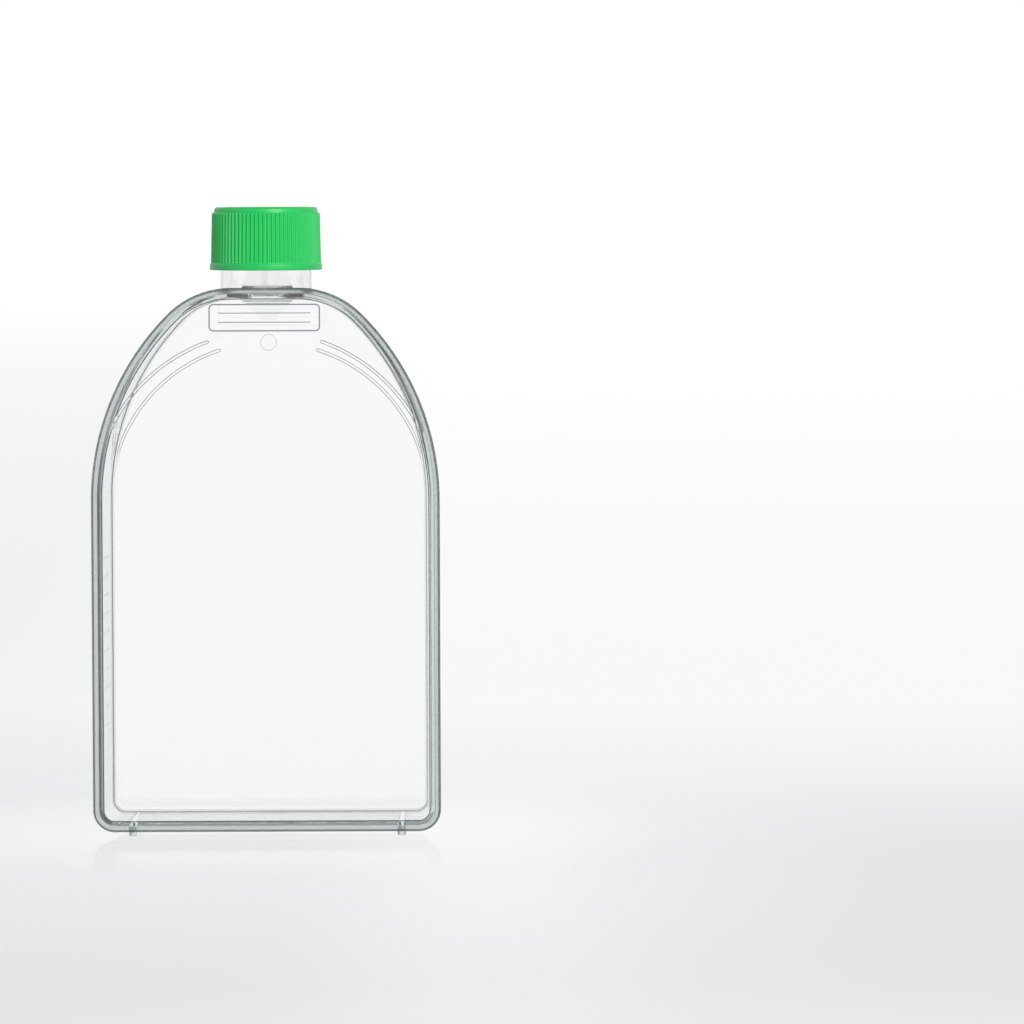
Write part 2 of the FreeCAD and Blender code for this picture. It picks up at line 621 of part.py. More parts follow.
cap = new_body("screw_cap")
sketch = draw_polygon(
    sketch_on(cap, "cap_profile", "XZ_Plane"),
    [
        (CAP_INNER_R, CAP_FOOT),
        (BAND_R, CAP_FOOT),
        (BAND_R, f"{CAP_FOOT} + Sizes.cap_band_tall"),
        (GRIP_R, GRIP_FOOT),
        (GRIP_R, f"{CAP_TOP} - Sizes.cap_bevel_tall"),
        (f"{GRIP_R} - Sizes.cap_bevel_wide / 3", f"{CAP_TOP} - Sizes.cap_bevel_tall / 3"),
        (f"{GRIP_R} - Sizes.cap_bevel_wide", CAP_TOP),
        (f"{GRIP_R} - Sizes.cap_bevel_wide - Sizes.cap_rim_wide", CAP_TOP),
        (f"{GRIP_R} - Sizes.cap_bevel_wide - Sizes.cap_rim_wide - Sizes.cap_rim_proud", ROOF_TOP),
        ("Sizes.roof_boss_wide / 2", ROOF_TOP),
        ("Sizes.roof_boss_wide / 2 - Sizes.roof_boss_proud", f"{ROOF_TOP} + Sizes.roof_boss_proud"),
        ("0", f"{ROOF_TOP} + Sizes.roof_boss_proud"),
        ("0", ROOF_UNDER),
        (f"{MEMBRANE_R} - Sizes.weld_ring_wide", ROOF_UNDER),
        (f"{MEMBRANE_R} - Sizes.weld_ring_wide", MEMBRANE_TOP),
        (MEMBRANE_R, MEMBRANE_TOP),
        (MEMBRANE_R, ROOF_UNDER),
        (f"{PLUG_R} - Sizes.plug_wall", ROOF_UNDER),
        (f"{PLUG_R} - Sizes.plug_wall", f"{ROOF_UNDER} - Sizes.plug_deep"),
        (f"{PLUG_R} - Sizes.plug_wall / 2", f"{ROOF_UNDER} - Sizes.plug_deep"),
        (PLUG_R, f"{ROOF_UNDER} - Sizes.plug_deep + Sizes.plug_wall / 2"),
        (PLUG_R, ROOF_UNDER),
        (CAP_INNER_R, ROOF_UNDER),
    ],
)
turned(cap, "cap_shell", sketch)

# One grip groove is cut from the band to past the bevel, then repeated round the cap.
sketch = sketch_on(cap, "grip_groove_profile", "XY_Plane", GRIP_FOOT)
GROOVE_HALF = f"({GRIP_R} * sin(180 * Sizes.grip_rib_duty / Sizes.grip_rib_count))"
draw_polygon(
    sketch,
    [
        (GROOVE_R, f"-{GROOVE_HALF} * 0.6"),
        (f"{GRIP_R} + 1", f"-{GROOVE_HALF} * 1.4"),
        (f"{GRIP_R} + 1", f"{GROOVE_HALF} * 1.4"),
        (GROOVE_R, f"{GROOVE_HALF} * 0.6"),
    ],
)
groove = pocket(cap, "grip_groove", sketch, "Sizes.cap_tall", backwards=True)
doc.recompute()
ribs = cap.newObject("PartDesign::PolarPattern", "grip_ribs")
ribs.Originals = [groove]
ribs.Axis = (sketch, ["N_Axis"])
ribs.Angle = 360
ribs.Occurrences = int(value_of("Sizes.grip_rib_count"))
ribs.setExpression("Occurrences", "Sizes.grip_rib_count")
cap.Tip = ribs

sketch = sketch_on(cap, "vent_circle", "XY_Plane", f"{ROOF_TOP} + Sizes.roof_boss_proud")
draw_circle(sketch, "Sizes.vent_ring / 2", "0", "Sizes.vent_hole")
vent = pocket(cap, "vent_hole", sketch, "Sizes.roof_boss_proud + Sizes.cap_roof")
doc.recompute()
vents = cap.newObject("PartDesign::PolarPattern", "vent_holes")
vents.Originals = [vent]
vents.Axis = (sketch, ["N_Axis"])
vents.Angle = 360
vents.Occurrences = int(value_of("Sizes.vent_count"))
vents.setExpression("Occurrences", "Sizes.vent_count")
cap.Tip = vents

CAP_TIP_R = f"({CAP_INNER_R} - Sizes.thread_deep)"
ridge(cap, "cap_thread", CAP_INNER_R, CAP_TIP_R, CAP_THREAD_FOOT, "Sizes.cap_turns")

# ---------------------------------------------------------------- vent membrane
# A disc of expanded membrane welded under the vent holes.

membrane = new_body("vent_membrane")
sketch = sketch_on(membrane, "membrane_circle", "XY_Plane", MEMBRANE_TOP)
draw_circle(sketch, "0", "0", f"2 * {MEMBRANE_R}")
pad(membrane, "membrane_disc", sketch, "Sizes.membrane_thick", backwards=True)

# ---------------------------------------------------------------- check and write

doc.recompute()
for item in doc.Objects:
    if "Invalid" in item.State or "Error" in item.State:
        raise RuntimeError(f"{item.Label} failed: {item.State}")

pieces = [tray, lid, cap, membrane]
for piece in pieces:
    if piece.Shape.isNull() or not piece.Shape.isValid() or len(piece.Shape.Solids) != 1:
        raise RuntimeError(f"{piece.Label} is not one valid solid")

os.makedirs("parts", exist_ok=True)
for piece in pieces:
    piece.Shape.exportStep(f"parts/{piece.Label}.step")
    print(f"{piece.Label}: {piece.Shape.Volume / 1000:.2f} cm3")
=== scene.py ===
import math

import bmesh
import bpy
from mathutils import Matrix, Vector


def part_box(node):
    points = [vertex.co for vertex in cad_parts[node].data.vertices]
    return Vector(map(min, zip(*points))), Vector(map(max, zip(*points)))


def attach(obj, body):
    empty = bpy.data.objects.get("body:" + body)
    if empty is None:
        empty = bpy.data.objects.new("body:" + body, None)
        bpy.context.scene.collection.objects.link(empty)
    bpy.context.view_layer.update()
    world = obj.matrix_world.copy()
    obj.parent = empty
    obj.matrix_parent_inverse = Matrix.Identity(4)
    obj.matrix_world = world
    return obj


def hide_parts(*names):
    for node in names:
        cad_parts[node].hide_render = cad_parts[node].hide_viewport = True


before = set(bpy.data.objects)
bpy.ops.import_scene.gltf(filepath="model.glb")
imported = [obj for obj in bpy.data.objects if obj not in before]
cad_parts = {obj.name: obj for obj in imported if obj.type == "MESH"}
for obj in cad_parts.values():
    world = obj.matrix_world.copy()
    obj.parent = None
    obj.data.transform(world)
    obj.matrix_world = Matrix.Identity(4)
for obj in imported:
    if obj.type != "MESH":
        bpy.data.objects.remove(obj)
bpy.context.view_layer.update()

# ============================================================ flask body
# The flask's body is one injection moulding in clear polystyrene: a growth plate, walls that pass it as
# a low base rim and end in a weld flange, two feet across the end wall, and the neck with its dam. Its
# outer block, neck and feet are joined first, and the chamber and the bore are cut after them.

MM = 0.001

body_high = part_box("flask_body")[1]
lid_low, lid_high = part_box("top_plate")
cap_low, cap_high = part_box("screw_cap")

HALF_WIDE = lid_high.x
RIM_LOW = lid_low.z
RIM_HIGH = lid_high.z
CORNER_R = 7.5 * MM
BIG_R = 90.0 * MM
SMALL_R = 30.5 * MM
SHOULDER_TURN = math.radians(45)

PLATE = 1.5 * MM
BEAD = 0.6 * MM
LID_UNDER = lid_low.y + BEAD + PLATE
PLATE_BACK = body_high.y - BEAD
PLATE_INNER = PLATE_BACK - PLATE
FLANGE_FRONT = lid_high.y
WELD_GAP = 0.03 * MM
FLANGE = 0.8 * MM
FLANGE_INSET = 0.25 * MM
SKIRT_WALL = 1.9 * MM
SIDE_WALL = 1.4 * MM
DRAFT = math.tan(math.radians(2.65))
BACK_ROUND = 0.5 * MM
CHAMBER_ROUND = 1.4 * MM
EDGE_ROUND = 0.2 * MM
TAIL = 1 * MM  # how far a profile's ends run on, inside the solid or off its axis


def arc_points(centre, radius, start, end, steps):
    """Points along a circular arc, ends included; the angles are in radians."""
    points = []
    for i in range(steps + 1):
        turn = start + (end - start) * i / steps
        points.append((centre[0] + radius * math.cos(turn), centre[1] + radius * math.sin(turn)))
    return points


def outline(inset, squeeze=0.0, corner_steps=12, side_steps=30, crown_steps=16):
    """The flask's outline as (x, z) points, inside the rim's edge by an inset and narrower by a squeeze."""
    wide = HALF_WIDE - squeeze
    corner, big, small = CORNER_R - inset, BIG_R - inset, SMALL_R - inset
    side_top = RIM_HIGH - SMALL_R - (BIG_R - SMALL_R) * math.sin(SHOULDER_TURN)
    flat_half = wide - BIG_R + (BIG_R - SMALL_R) * math.cos(SHOULDER_TURN)
    quarter = math.pi / 2
    right = arc_points((wide - CORNER_R, RIM_LOW + CORNER_R), corner, -quarter, 0, corner_steps)
    right += arc_points((wide - BIG_R, side_top), big, 0, SHOULDER_TURN, side_steps)
    crown = arc_points((flat_half, RIM_HIGH - SMALL_R), small, SHOULDER_TURN, quarter, crown_steps)
    right += crown[1:]
    return right + [(-x, z) for x, z in reversed(right)]


def rounded_step(corner, before, after, radius, large=1 * MM):
    """A corner of a profile replaced by an arc, with more points where it is a large one."""
    steps = 7 if radius > large else 3
    corner, before, after = Vector(corner), Vector(before), Vector(after)
    to_before, to_after = (before - corner).normalized(), (after - corner).normalized()
    half_angle = to_before.angle(to_after) / 2
    reach = radius / math.tan(half_angle)
    centre = corner + (to_before + to_after).normalized() * (radius / math.sin(half_angle))
    start = (corner + to_before * reach - centre).normalized()
    end = (corner + to_after * reach - centre).normalized()
    return [tuple(centre + start.slerp(end, i / steps) * radius) for i in range(steps + 1)]


def soften(profile):
    """A profile given as (across, along, radius) corners, with each corner that has a radius rounded."""
    points = []
    for i, (across, along, radius) in enumerate(profile):
        if radius:
            before, after = profile[i - 1][:2], profile[i + 1][:2]
            points += rounded_step((across, along), before, after, radius)
        else:
            points.append((across, along))
    return points


def place_in_scene(name, data):
    """A new object in the scene, for a mesh, a lamp or a camera."""
    made = bpy.data.objects.new(name, data)
    bpy.context.scene.collection.objects.link(made)
    return made


def turn_outwards(mesh):
    """Turn the faces of a closed mesh outwards."""
    shape = bmesh.new()
    shape.from_mesh(mesh)
    bmesh.ops.recalc_face_normals(shape, faces=shape.faces)
    shape.to_mesh(mesh)
    shape.free()


def mesh_piece(name, vertices, faces):
    """A new piece in the frame's own place, from closed faces."""
    mesh = bpy.data.meshes.new(name)
    mesh.from_pydata(vertices, [], faces)
    turn_outwards(mesh)
    return place_in_scene(name, mesh)


def rings_to_solid(name, rings):
    """A closed solid through rings of equally many points, with a flat face on the first and last."""
    count = len(rings[0])
    vertices = [point for ring in rings for point in ring]
    faces = [list(range(count)), list(range((len(rings) - 1) * count, len(rings) * count))]
    for i in range(len(rings) - 1):
        for j in range(count):
            after = (j + 1) % count
            faces.append([i * count + j, i * count + after, (i + 1) * count + after, (i + 1) * count + j])
    return mesh_piece(name, vertices, faces)


def outline_solid(name, profile, draft=0.0):
    """A solid whose (inset, y) section runs round the outline, with a draft on the two side walls."""
    rings = []
    for inset, y in soften(profile):
        squeeze = max(0.0, y - LID_UNDER) * draft
        rings.append([(x, y, z) for x, z in outline(inset, squeeze)])
    return rings_to_solid(name, rings)


def turned_solid(name, profile, segments=192):
    """A solid of revolution about the neck's axis, from (radius, z) corners that start and end off it."""
    turns = [2 * math.pi * i / segments for i in range(segments)]
    rings = [[(r * math.cos(a), r * math.sin(a), z) for a in turns] for r, z in soften(profile)]
    return rings_to_solid(name, rings)


def keep_result(piece):
    """Make the result of a piece's modifiers its plain mesh."""
    result = piece.evaluated_get(bpy.context.evaluated_depsgraph_get())
    made = bpy.data.meshes.new_from_object(result)
    piece.modifiers.clear()
    piece.data = made


def combine(piece, tools, operation):
    """Join solids to a piece, or cut them from it, and remove them."""
    for tool in tools:
        step = piece.modifiers.new("combine", "BOOLEAN")
        step.operation, step.object, step.solver = operation, tool, "MANIFOLD"
        keep_result(piece)
        bpy.data.objects.remove(tool)


def smooth_moulding(piece, sharp_angle=35):
    """Smooth shading that keeps flat faces flat and creases sharp."""
    piece.data.shade_smooth()
    piece.data.set_sharp_from_angle(angle=math.radians(sharp_angle))
    step = piece.modifiers.new("weighted normals", "WEIGHTED_NORMAL")
    step.keep_sharp, step.weight = True, 100
    keep_result(piece)


INNER_INSET = SKIRT_WALL + SIDE_WALL
tray_front = LID_UNDER + WELD_GAP
flange_front = FLANGE_FRONT + WELD_GAP
flange_back = FLANGE_FRONT + FLANGE

tray = outline_solid(
    "flask_body_moulding",
    [
        (INNER_INSET + TAIL, PLATE_BACK, 0),
        (INNER_INSET, PLATE_BACK, EDGE_ROUND),
        (INNER_INSET, body_high.y, EDGE_ROUND),
        (SKIRT_WALL, body_high.y, BACK_ROUND),
        (SKIRT_WALL, flange_back, EDGE_ROUND),
        (FLANGE_INSET, flange_back, EDGE_ROUND),
        (FLANGE_INSET, flange_front, EDGE_ROUND),
        (SKIRT_WALL + WELD_GAP, flange_front, 0),
        (SKIRT_WALL + WELD_GAP, tray_front, EDGE_ROUND),
        (SKIRT_WALL + SIDE_WALL / 2, tray_front, 0),
    ],
    DRAFT,
)
chamber = outline_solid(
    "chamber",
    [
        (INNER_INSET + TAIL, LID_UNDER - TAIL, 0),
        (INNER_INSET, LID_UNDER - TAIL, 0),
        (INNER_INSET, PLATE_INNER, CHAMBER_ROUND),
        (INNER_INSET + 1.5 * CHAMBER_ROUND, PLATE_INNER, 0),
    ],
    DRAFT,
)

# ------------------------------------------------------------ neck, thread and dam
# The neck is part of the same moulding. Its right-hand thread has two turns, and the dam and ramp
# under it keep the medium out of the neck when the flask lies on its growth plate.

BORE_R = 13.4 * MM
NECK_R = 15.6 * MM
NECK_FLARE = 0.7 * MM
MOUTH = body_high.z
LIP_ROUND = 0.7 * MM
THREAD_DEEP = 1.1 * MM
THREAD_ROOT = 1.7 * MM
THREAD_TIP = 0.7 * MM
THREAD_PITCH = 4.0 * MM
THREAD_TURNS = 2
THREAD_START = MOUTH - 12.0 * MM
DAM_CREST_Y = BORE_R - 4.8 * MM
DAM_FACE = 0.6 * MM
DAM_SLOPE = 11.5 * MM
DAM_CREST_ROUND = 1.5 * MM
RAMP_FOOT = 3.0 * MM
NECK_ROOT_DEEP = 6 * MM
WALL_SINK = 0.2 * MM  # how far a ridge's root goes into the wall it stands on

wall_top = RIM_HIGH - SKIRT_WALL
ceiling = RIM_HIGH - INNER_INSET
neck_root = ceiling - NECK_ROOT_DEEP

neck = turned_solid(
    "neck",
    [
        (TAIL, neck_root, 0),
        (NECK_R, neck_root, 0),
        (NECK_R, wall_top - SIDE_WALL / 2, 0),
        (NECK_R + NECK_FLARE, wall_top - SIDE_WALL / 2, 0),
        (NECK_R + NECK_FLARE, wall_top, 0),
        (NECK_R, wall_top + 1.5 * NECK_FLARE, 1.5 * MM),
        (NECK_R, MOUTH, LIP_ROUND),
        (TAIL, MOUTH, 0),
    ],
)
bore = turned_solid(
    "bore",
    [
        (TAIL, neck_root, 0),
        (BORE_R, neck_root, 0),
        (BORE_R, MOUTH - LIP_ROUND, LIP_ROUND),
        (BORE_R + LIP_ROUND, MOUTH, 0),
        (BORE_R + LIP_ROUND, MOUTH + TAIL, 0),
        (TAIL, MOUTH + TAIL, 0),
    ],
)


def thread_ridge(name, root_r, tip_r, start, turns, per_turn=96):
    """A helical ridge whose ends run out into the wall; its root is sunk a little into that wall."""
    sink = -WALL_SINK if tip_r > root_r else WALL_SINK
    lowest, run_out_steps = 0.12, 10
    rings = []
    count = round(turns * per_turn)
    for i in range(count + 1):
        turn = 2 * math.pi * i / per_turn
        run_out = min(1.0, lowest + i / run_out_steps, lowest + (count - i) / run_out_steps)
        tip = root_r + (tip_r - root_r) * run_out
        z = start + THREAD_PITCH * i / per_turn
        section = [
            (root_r + sink, z - THREAD_ROOT / 2),
            (tip, z - THREAD_TIP / 2),
            (tip, z + THREAD_TIP / 2),
            (root_r + sink, z + THREAD_ROOT / 2),
        ]
        rings.append([(r * math.cos(turn), r * math.sin(turn), height) for r, height in section])
    return rings_to_solid(name, rings)


neck_thread = thread_ridge("neck_thread", NECK_R, NECK_R + THREAD_DEEP, THREAD_START, THREAD_TURNS)


def dam_section(chord, z, steps=32):
    """The part of a disc beyond a chord that runs across the bore, at one height."""
    radius = BORE_R + (NECK_R - BORE_R) / 2
    angle = math.asin(chord / radius)
    return [(x, y, z) for x, y in arc_points((0, 0), radius, angle, math.pi - angle, steps)]


crest_z = ceiling + DAM_FACE
dam_profile = [
    (DAM_CREST_Y, ceiling, 0),
    (DAM_CREST_Y, crest_z, DAM_CREST_ROUND),
    (BORE_R, crest_z + DAM_SLOPE, 0),
]
dam = rings_to_solid("dam", [dam_section(chord, z) for chord, z in soften(dam_profile)])

crest_half = math.sqrt(BORE_R**2 - DAM_CREST_Y**2)
ramp_top = ceiling + DAM_FACE / 2
ramp_low = ceiling - (PLATE_INNER - DAM_CREST_Y)
in_plate = PLATE_INNER + PLATE / 2
ramp_ends = ((RAMP_FOOT / 2, PLATE_INNER, ramp_low), (crest_half, DAM_CREST_Y, ramp_top))
ramp = rings_to_solid(
    "ramp",
    [
        [(-half, near, z), (half, near, z), (half, in_plate, z), (-half, in_plate, z)]
        for half, near, z in ramp_ends
    ],
)

# ------------------------------------------------------------ end feet, stacking arcs and gate pip
# Two feet run across the end wall and carry the flask when it stands. Two arcs under the growth plate
# meet those of the flask below, and the gate of the mould leaves a round pip.

FOOT_PLACE = 46.0 * MM
FOOT_WIDE = 2.8 * MM
FOOT_THIN = 1.8 * MM
FOOT_ROUND = 0.3 * MM
FOOT_FRONT = flange_front + 0.3 * MM
FOOT_BACK = PLATE_BACK - 0.4 * MM
ARC_WIDE = 1.2 * MM
# Each step up an arc's side is (share of its rise, how far it is drawn in).
ARC_SIDE = ((-0.4, 0), (0.45, 0), (0.85, 0.07 * MM), (1.0, 0.3 * MM))
BASE_CROWN = RIM_HIGH - 19.6 * MM
BASE_ARC_R = HALF_WIDE - 4.2 * MM
BASE_ARC_FROM_NECK = 17.1 * MM
BASE_ARC_LOW = BASE_CROWN - 44 * MM
PIP_R = 2.8 * MM
PIP_PROUD = 0.35 * MM
PIP_ROUND = 0.25 * MM
PIP_STEPS = 48


def end_foot(side):
    """One foot, upright through the end wall, thinner towards the growth plate, with soft lower edges."""
    rings = []
    top = RIM_LOW + SKIRT_WALL + SIDE_WALL / 2
    eased = 0.3 * FOOT_ROUND
    for shrink, z in ((FOOT_ROUND, 0), (eased, eased), (0, FOOT_ROUND), (0, top)):
        wide, thin = FOOT_WIDE / 2 - shrink, FOOT_THIN / 2 - shrink
        nose = arc_points((0, FOOT_BACK - thin), thin, 0, math.pi, 8)
        corners = [(-wide, FOOT_FRONT + shrink), (wide, FOOT_FRONT + shrink)] + nose
        rings.append([(side * FOOT_PLACE + x, y, z) for x, y in corners])
    return rings_to_solid("end_foot", rings)


def stacking_arc(side, radius, crown, end_across, end_low, root_y, crest_y, arc_steps=48, end_steps=8):
    """One raised arc with round ends on a plate: from beside the neck down one shoulder."""
    centre_z = crown - radius
    high_angle = math.acos(end_across / radius)
    low_angle = math.asin((end_low - centre_z) / radius)
    low_end, high_end = arc_points((0, centre_z), radius, low_angle, high_angle, 1)
    rings = []
    rise = crest_y - root_y
    for depth, inset in ARC_SIDE:
        half = ARC_WIDE / 2 - inset
        edge = arc_points((0, centre_z), radius + half, low_angle, high_angle, arc_steps)
        edge += arc_points(high_end, half, high_angle, high_angle + math.pi, end_steps)[1:-1]
        edge += arc_points((0, centre_z), radius - half, high_angle, low_angle, arc_steps)
        edge += arc_points(low_end, half, low_angle + math.pi, low_angle + math.tau, end_steps)[1:-1]
        rings.append([(side * x, root_y + depth * rise, z) for x, z in edge])
    return rings_to_solid("stacking_arc", rings)


base_arcs = [
    stacking_arc(side, BASE_ARC_R, BASE_CROWN, BASE_ARC_FROM_NECK, BASE_ARC_LOW, PLATE_BACK, body_high.y)
    for side in (1, -1)
]
pip_profile = [(PIP_R, -WALL_SINK, 0), (PIP_R, PIP_PROUD, PIP_ROUND), (0.1 * PIP_R, PIP_PROUD, 0)]
pip_rings = []
for radius, rise in soften(pip_profile):
    circle = arc_points((0, 0), radius, 0, math.tau * (PIP_STEPS - 1) / PIP_STEPS, PIP_STEPS - 1)
    pip_rings.append([(x, PLATE_BACK + rise, BASE_CROWN + z) for x, z in circle])
gate_pip = rings_to_solid("gate_pip", pip_rings)

# ------------------------------------------------------------ graduation lines
# Ten raised lines are moulded on one side wall, to read the medium's level by. They are copies of one
# bar with soft ends, which follows the wall's draft.

LINE_COUNT = 10
LINE_STEP = 6.4 * MM
LINE_LOW = 37.0 * MM
LINE_THICK = 0.5 * MM
LINE_PROUD = 0.15 * MM
LINE_FRONT = -9.0 * MM
LINE_BACK = 9.0 * MM
# Each step up a line's side is (share of its rise, share of its thickness to each side, how much shorter).
LINE_SIDE = ((-0.3, 0.5, 0), (0.45, 0.5, 0), (0.85, 0.4, 0.05 * MM), (1.0, 0.2, 0.15 * MM))


def wall_face(y):
    """Where the outer face of the side wall stands at one depth."""
    return HALF_WIDE - SKIRT_WALL - (y - LID_UNDER) * DRAFT


def graduation_bar():
    """The lowest line, following the drafted wall, sunk a little into it."""
    rings = []
    for proud, half, ease in LINE_SIDE:
        front, back = LINE_FRONT + ease, LINE_BACK - ease
        low, high = LINE_LOW - half * LINE_THICK, LINE_LOW + half * LINE_THICK
        corners = ((front, low), (back, low), (back, high), (front, high))
        rings.append([(-wall_face(y) - proud * LINE_PROUD, y, z) for y, z in corners])
    return rings_to_solid("graduation_bar", rings)


def add_node(tree, kind, settings=None, **inputs):
    """A node with its settings, and its inputs set to values or linked to sockets."""
    node = tree.nodes.new(kind)
    for key, value in (settings or {}).items():
        setattr(node, key, value)
    for key, value in inputs.items():
        socket = node.inputs[int(key[1:])] if key[1:].isdigit() else node.inputs[key.replace("_", " ")]
        if isinstance(value, bpy.types.NodeSocket):
            tree.links.new(value, socket)
        else:
            socket.default_value = value
    return node


def new_tree(name, **kinds):
    """An empty geometry tree whose inputs have these names and kinds, and the sockets they arrive at."""
    tree = bpy.data.node_groups.new(name, "GeometryNodeTree")
    for label, kind in kinds.items():
        label = label.replace("_", " ")
        tree.interface.new_socket(label, in_out="INPUT", socket_type="NodeSocket" + kind)
    tree.interface.new_socket("Result", in_out="OUTPUT", socket_type="NodeSocketGeometry")
    return tree, add_node(tree, "NodeGroupInput").outputs


def finish_tree(tree, shape, material):
    """Make a tree's instances real, give the shape its material, and hand it out."""
    real = add_node(tree, "GeometryNodeRealizeInstances", Geometry=shape)
    finish = add_node(tree, "GeometryNodeSetMaterial", Geometry=real.outputs[0], Material=material)
    add_node(tree, "NodeGroupOutput", Result=finish.outputs[0])
    return tree


def row_tree():
    """Repeats a piece upwards at an even step."""
    tree, given = new_tree("row_of_pieces", Piece="Geometry", Count="Int", Step="Float", Material="Material")
    index = add_node(tree, "GeometryNodeInputIndex").outputs[0]
    rise = add_node(tree, "ShaderNodeMath", {"operation": "MULTIPLY"}, i0=index, i1=given["Step"])
    place = add_node(tree, "ShaderNodeCombineXYZ", Z=rise.outputs[0])
    points = add_node(tree, "GeometryNodePoints", Count=given["Count"], Position=place.outputs[0])
    copies = add_node(
        tree, "GeometryNodeInstanceOnPoints", Points=points.outputs[0], Instance=given["Piece"]
    )
    return finish_tree(tree, copies.outputs[0], given["Material"])


def make_with(piece, tree, **inputs):
    """Run a geometry tree on a piece with named inputs, and keep the result as its plain mesh."""
    step = piece.modifiers.new(tree.name, "NODES")
    step.node_group = tree
    for item in tree.interface.items_tree:
        name = item.name.replace(" ", "_")
        if item.item_type == "SOCKET" and item.in_out == "INPUT" and name in inputs:
            step[item.identifier] = inputs[name]
    keep_result(piece)


graduations = graduation_bar()
make_with(graduations, row_tree(), Count=LINE_COUNT, Step=LINE_STEP)
combine(tray, [neck, end_foot(1), end_foot(-1), neck_thread, *base_arcs, gate_pip, graduations], "UNION")
combine(tray, [chamber, bore], "DIFFERENCE")
combine(tray, [dam, ramp], "UNION")
smooth_moulding(tray)

# Polystyrene, injection moulded and polished: glass-clear, index 1.59, grey-green where it is seen through
# its edges, with a slight flow ripple. It is frosted where the two mouldings are welded, with painted shade
# that darkens the weld to grey-green. More painted shade darkens the rounded edges of the bead and the base
# rim, for the dark outline that those edges give the flask.


def linear(hex_colour):
    """An sRGB hex colour as linear red, green, blue and alpha."""
    parts = [int(hex_colour[i : i + 2], 16) / 255 for i in (1, 3, 5)]
    return [p / 12.92 if p <= 0.04045 else ((p + 0.055) / 1.055) ** 2.4 for p in parts] + [1.0]


def new_material(name):
    """An empty material, its node tree, and the place on the object that its patterns are laid out by."""
    material = bpy.data.materials.new(name)
    material.use_nodes = True
    tree = material.node_tree
    tree.nodes.clear()
    return material, tree, add_node(tree, "ShaderNodeTexCoord").outputs["Object"]


def coat(piece, material):
    """Leave a piece with this one material."""
    piece.data.materials.clear()
    piece.data.materials.append(material)


FLOW_RIPPLE = 25 / 3 * MM
WELD_GRAIN = 10 / 9 * MM
WELD_MIDDLE = FLANGE_FRONT + 0.3 * MM
WELD_HALF = 0.55 * MM
WELD_EDGE = 0.7 * MM
# The painted shade along the rounded edges lies this far before and behind the neck's axis, give or take the
# half.
EDGE_DEPTH = 19.42 * MM
EDGE_DEPTH_HALF = 0.265 * MM


def clear_polystyrene():
    material, tree, place = new_material("clear_polystyrene_polished_moulding")
    ripple = add_node(tree, "ShaderNodeTexNoise", Vector=place, Scale=1 / FLOW_RIPPLE, Detail=2.0)
    haze = add_node(tree, "ShaderNodeTexNoise", Vector=place, Scale=1 / WELD_GRAIN, Detail=3.0)
    y = add_node(tree, "ShaderNodeSeparateXYZ", i0=place).outputs["Y"]
    off_weld = add_node(tree, "ShaderNodeMath", {"operation": "SUBTRACT"}, i0=y, i1=WELD_MIDDLE)
    off_weld = add_node(tree, "ShaderNodeMath", {"operation": "ABSOLUTE"}, i0=off_weld.outputs[0])
    weld_frost_and_shade = add_node(
        tree,
        "ShaderNodeMapRange",
        Value=off_weld.outputs[0],
        From_Min=WELD_HALF,
        From_Max=WELD_EDGE,
        To_Min=0.4,
        To_Max=0.015,
    )
    rough = add_node(
        tree, "ShaderNodeMath", {"operation": "MULTIPLY"}, i0=weld_frost_and_shade.outputs[0], i1=haze.outputs["Fac"]
    )
    bump = add_node(tree, "ShaderNodeBump", Height=ripple.outputs["Fac"], Strength=0.02, Distance=1 * MM)
    # Painted shade: where the weld is frosted, its colour is also darkened to grey-green.
    tone = add_node(
        tree,
        "ShaderNodeMix",
        {"data_type": "RGBA"},
        Factor=weld_frost_and_shade.outputs[0],
        i6=linear("#FFFFFF"),
        i7=linear("#8FA39D"),
    )
    # Painted shade: the colour is darkened along the rounded edges of the bead and the base rim, but not
    # round the gate pip.
    depth = add_node(tree, "ShaderNodeMath", {"operation": "ABSOLUTE"}, i0=y)
    painted_edge_shade = add_node(
        tree,
        "ShaderNodeMath",
        {"operation": "COMPARE"},
        i0=depth.outputs[0],
        i1=EDGE_DEPTH,
        i2=EDGE_DEPTH_HALF,
    )
    pip_centre = (0, PLATE_BACK, BASE_CROWN)
    from_pip = add_node(tree, "ShaderNodeVectorMath", {"operation": "DISTANCE"}, i0=place, i1=pip_centre)
    off_pip = add_node(
        tree, "ShaderNodeMath", {"operation": "GREATER_THAN"}, i0=from_pip.outputs["Value"], i1=1.2 * PIP_R
    )
    painted_edge_shade = add_node(
        tree, "ShaderNodeMath", {"operation": "MULTIPLY"}, i0=painted_edge_shade.outputs[0], i1=off_pip.outputs[0]
    )
    tone = add_node(
        tree,
        "ShaderNodeMix",
        {"data_type": "RGBA"},
        Factor=painted_edge_shade.outputs[0],
        i6=tone.outputs[2],
        i7=linear("#586461"),
    )
    glass = add_node(
        tree,
        "ShaderNodeBsdfPrincipled",
        Base_Color=tone.outputs[2],
        Roughness=rough.outputs[0],
        Normal=bump.outputs["Normal"],
        IOR=1.59,
        Transmission_Weight=1.0,
    )
    let_light = add_node(tree, "ShaderNodeBsdfTransparent", Color=linear("#F8FAF9"))
    shadow = add_node(tree, "ShaderNodeLightPath").outputs["Is Shadow Ray"]
    mixed = add_node(
        tree, "ShaderNodeMixShader", i0=shadow, i1=glass.outputs["BSDF"], i2=let_light.outputs["BSDF"]
    )
    tint = add_node(tree, "ShaderNodeVolumeAbsorption", Color=linear("#B4CBC5"), Density=24.0)
    add_node(
        tree, "ShaderNodeOutputMaterial", Surface=mixed.outputs["Shader"], Volume=tint.outputs["Volume"]
    )
    return material


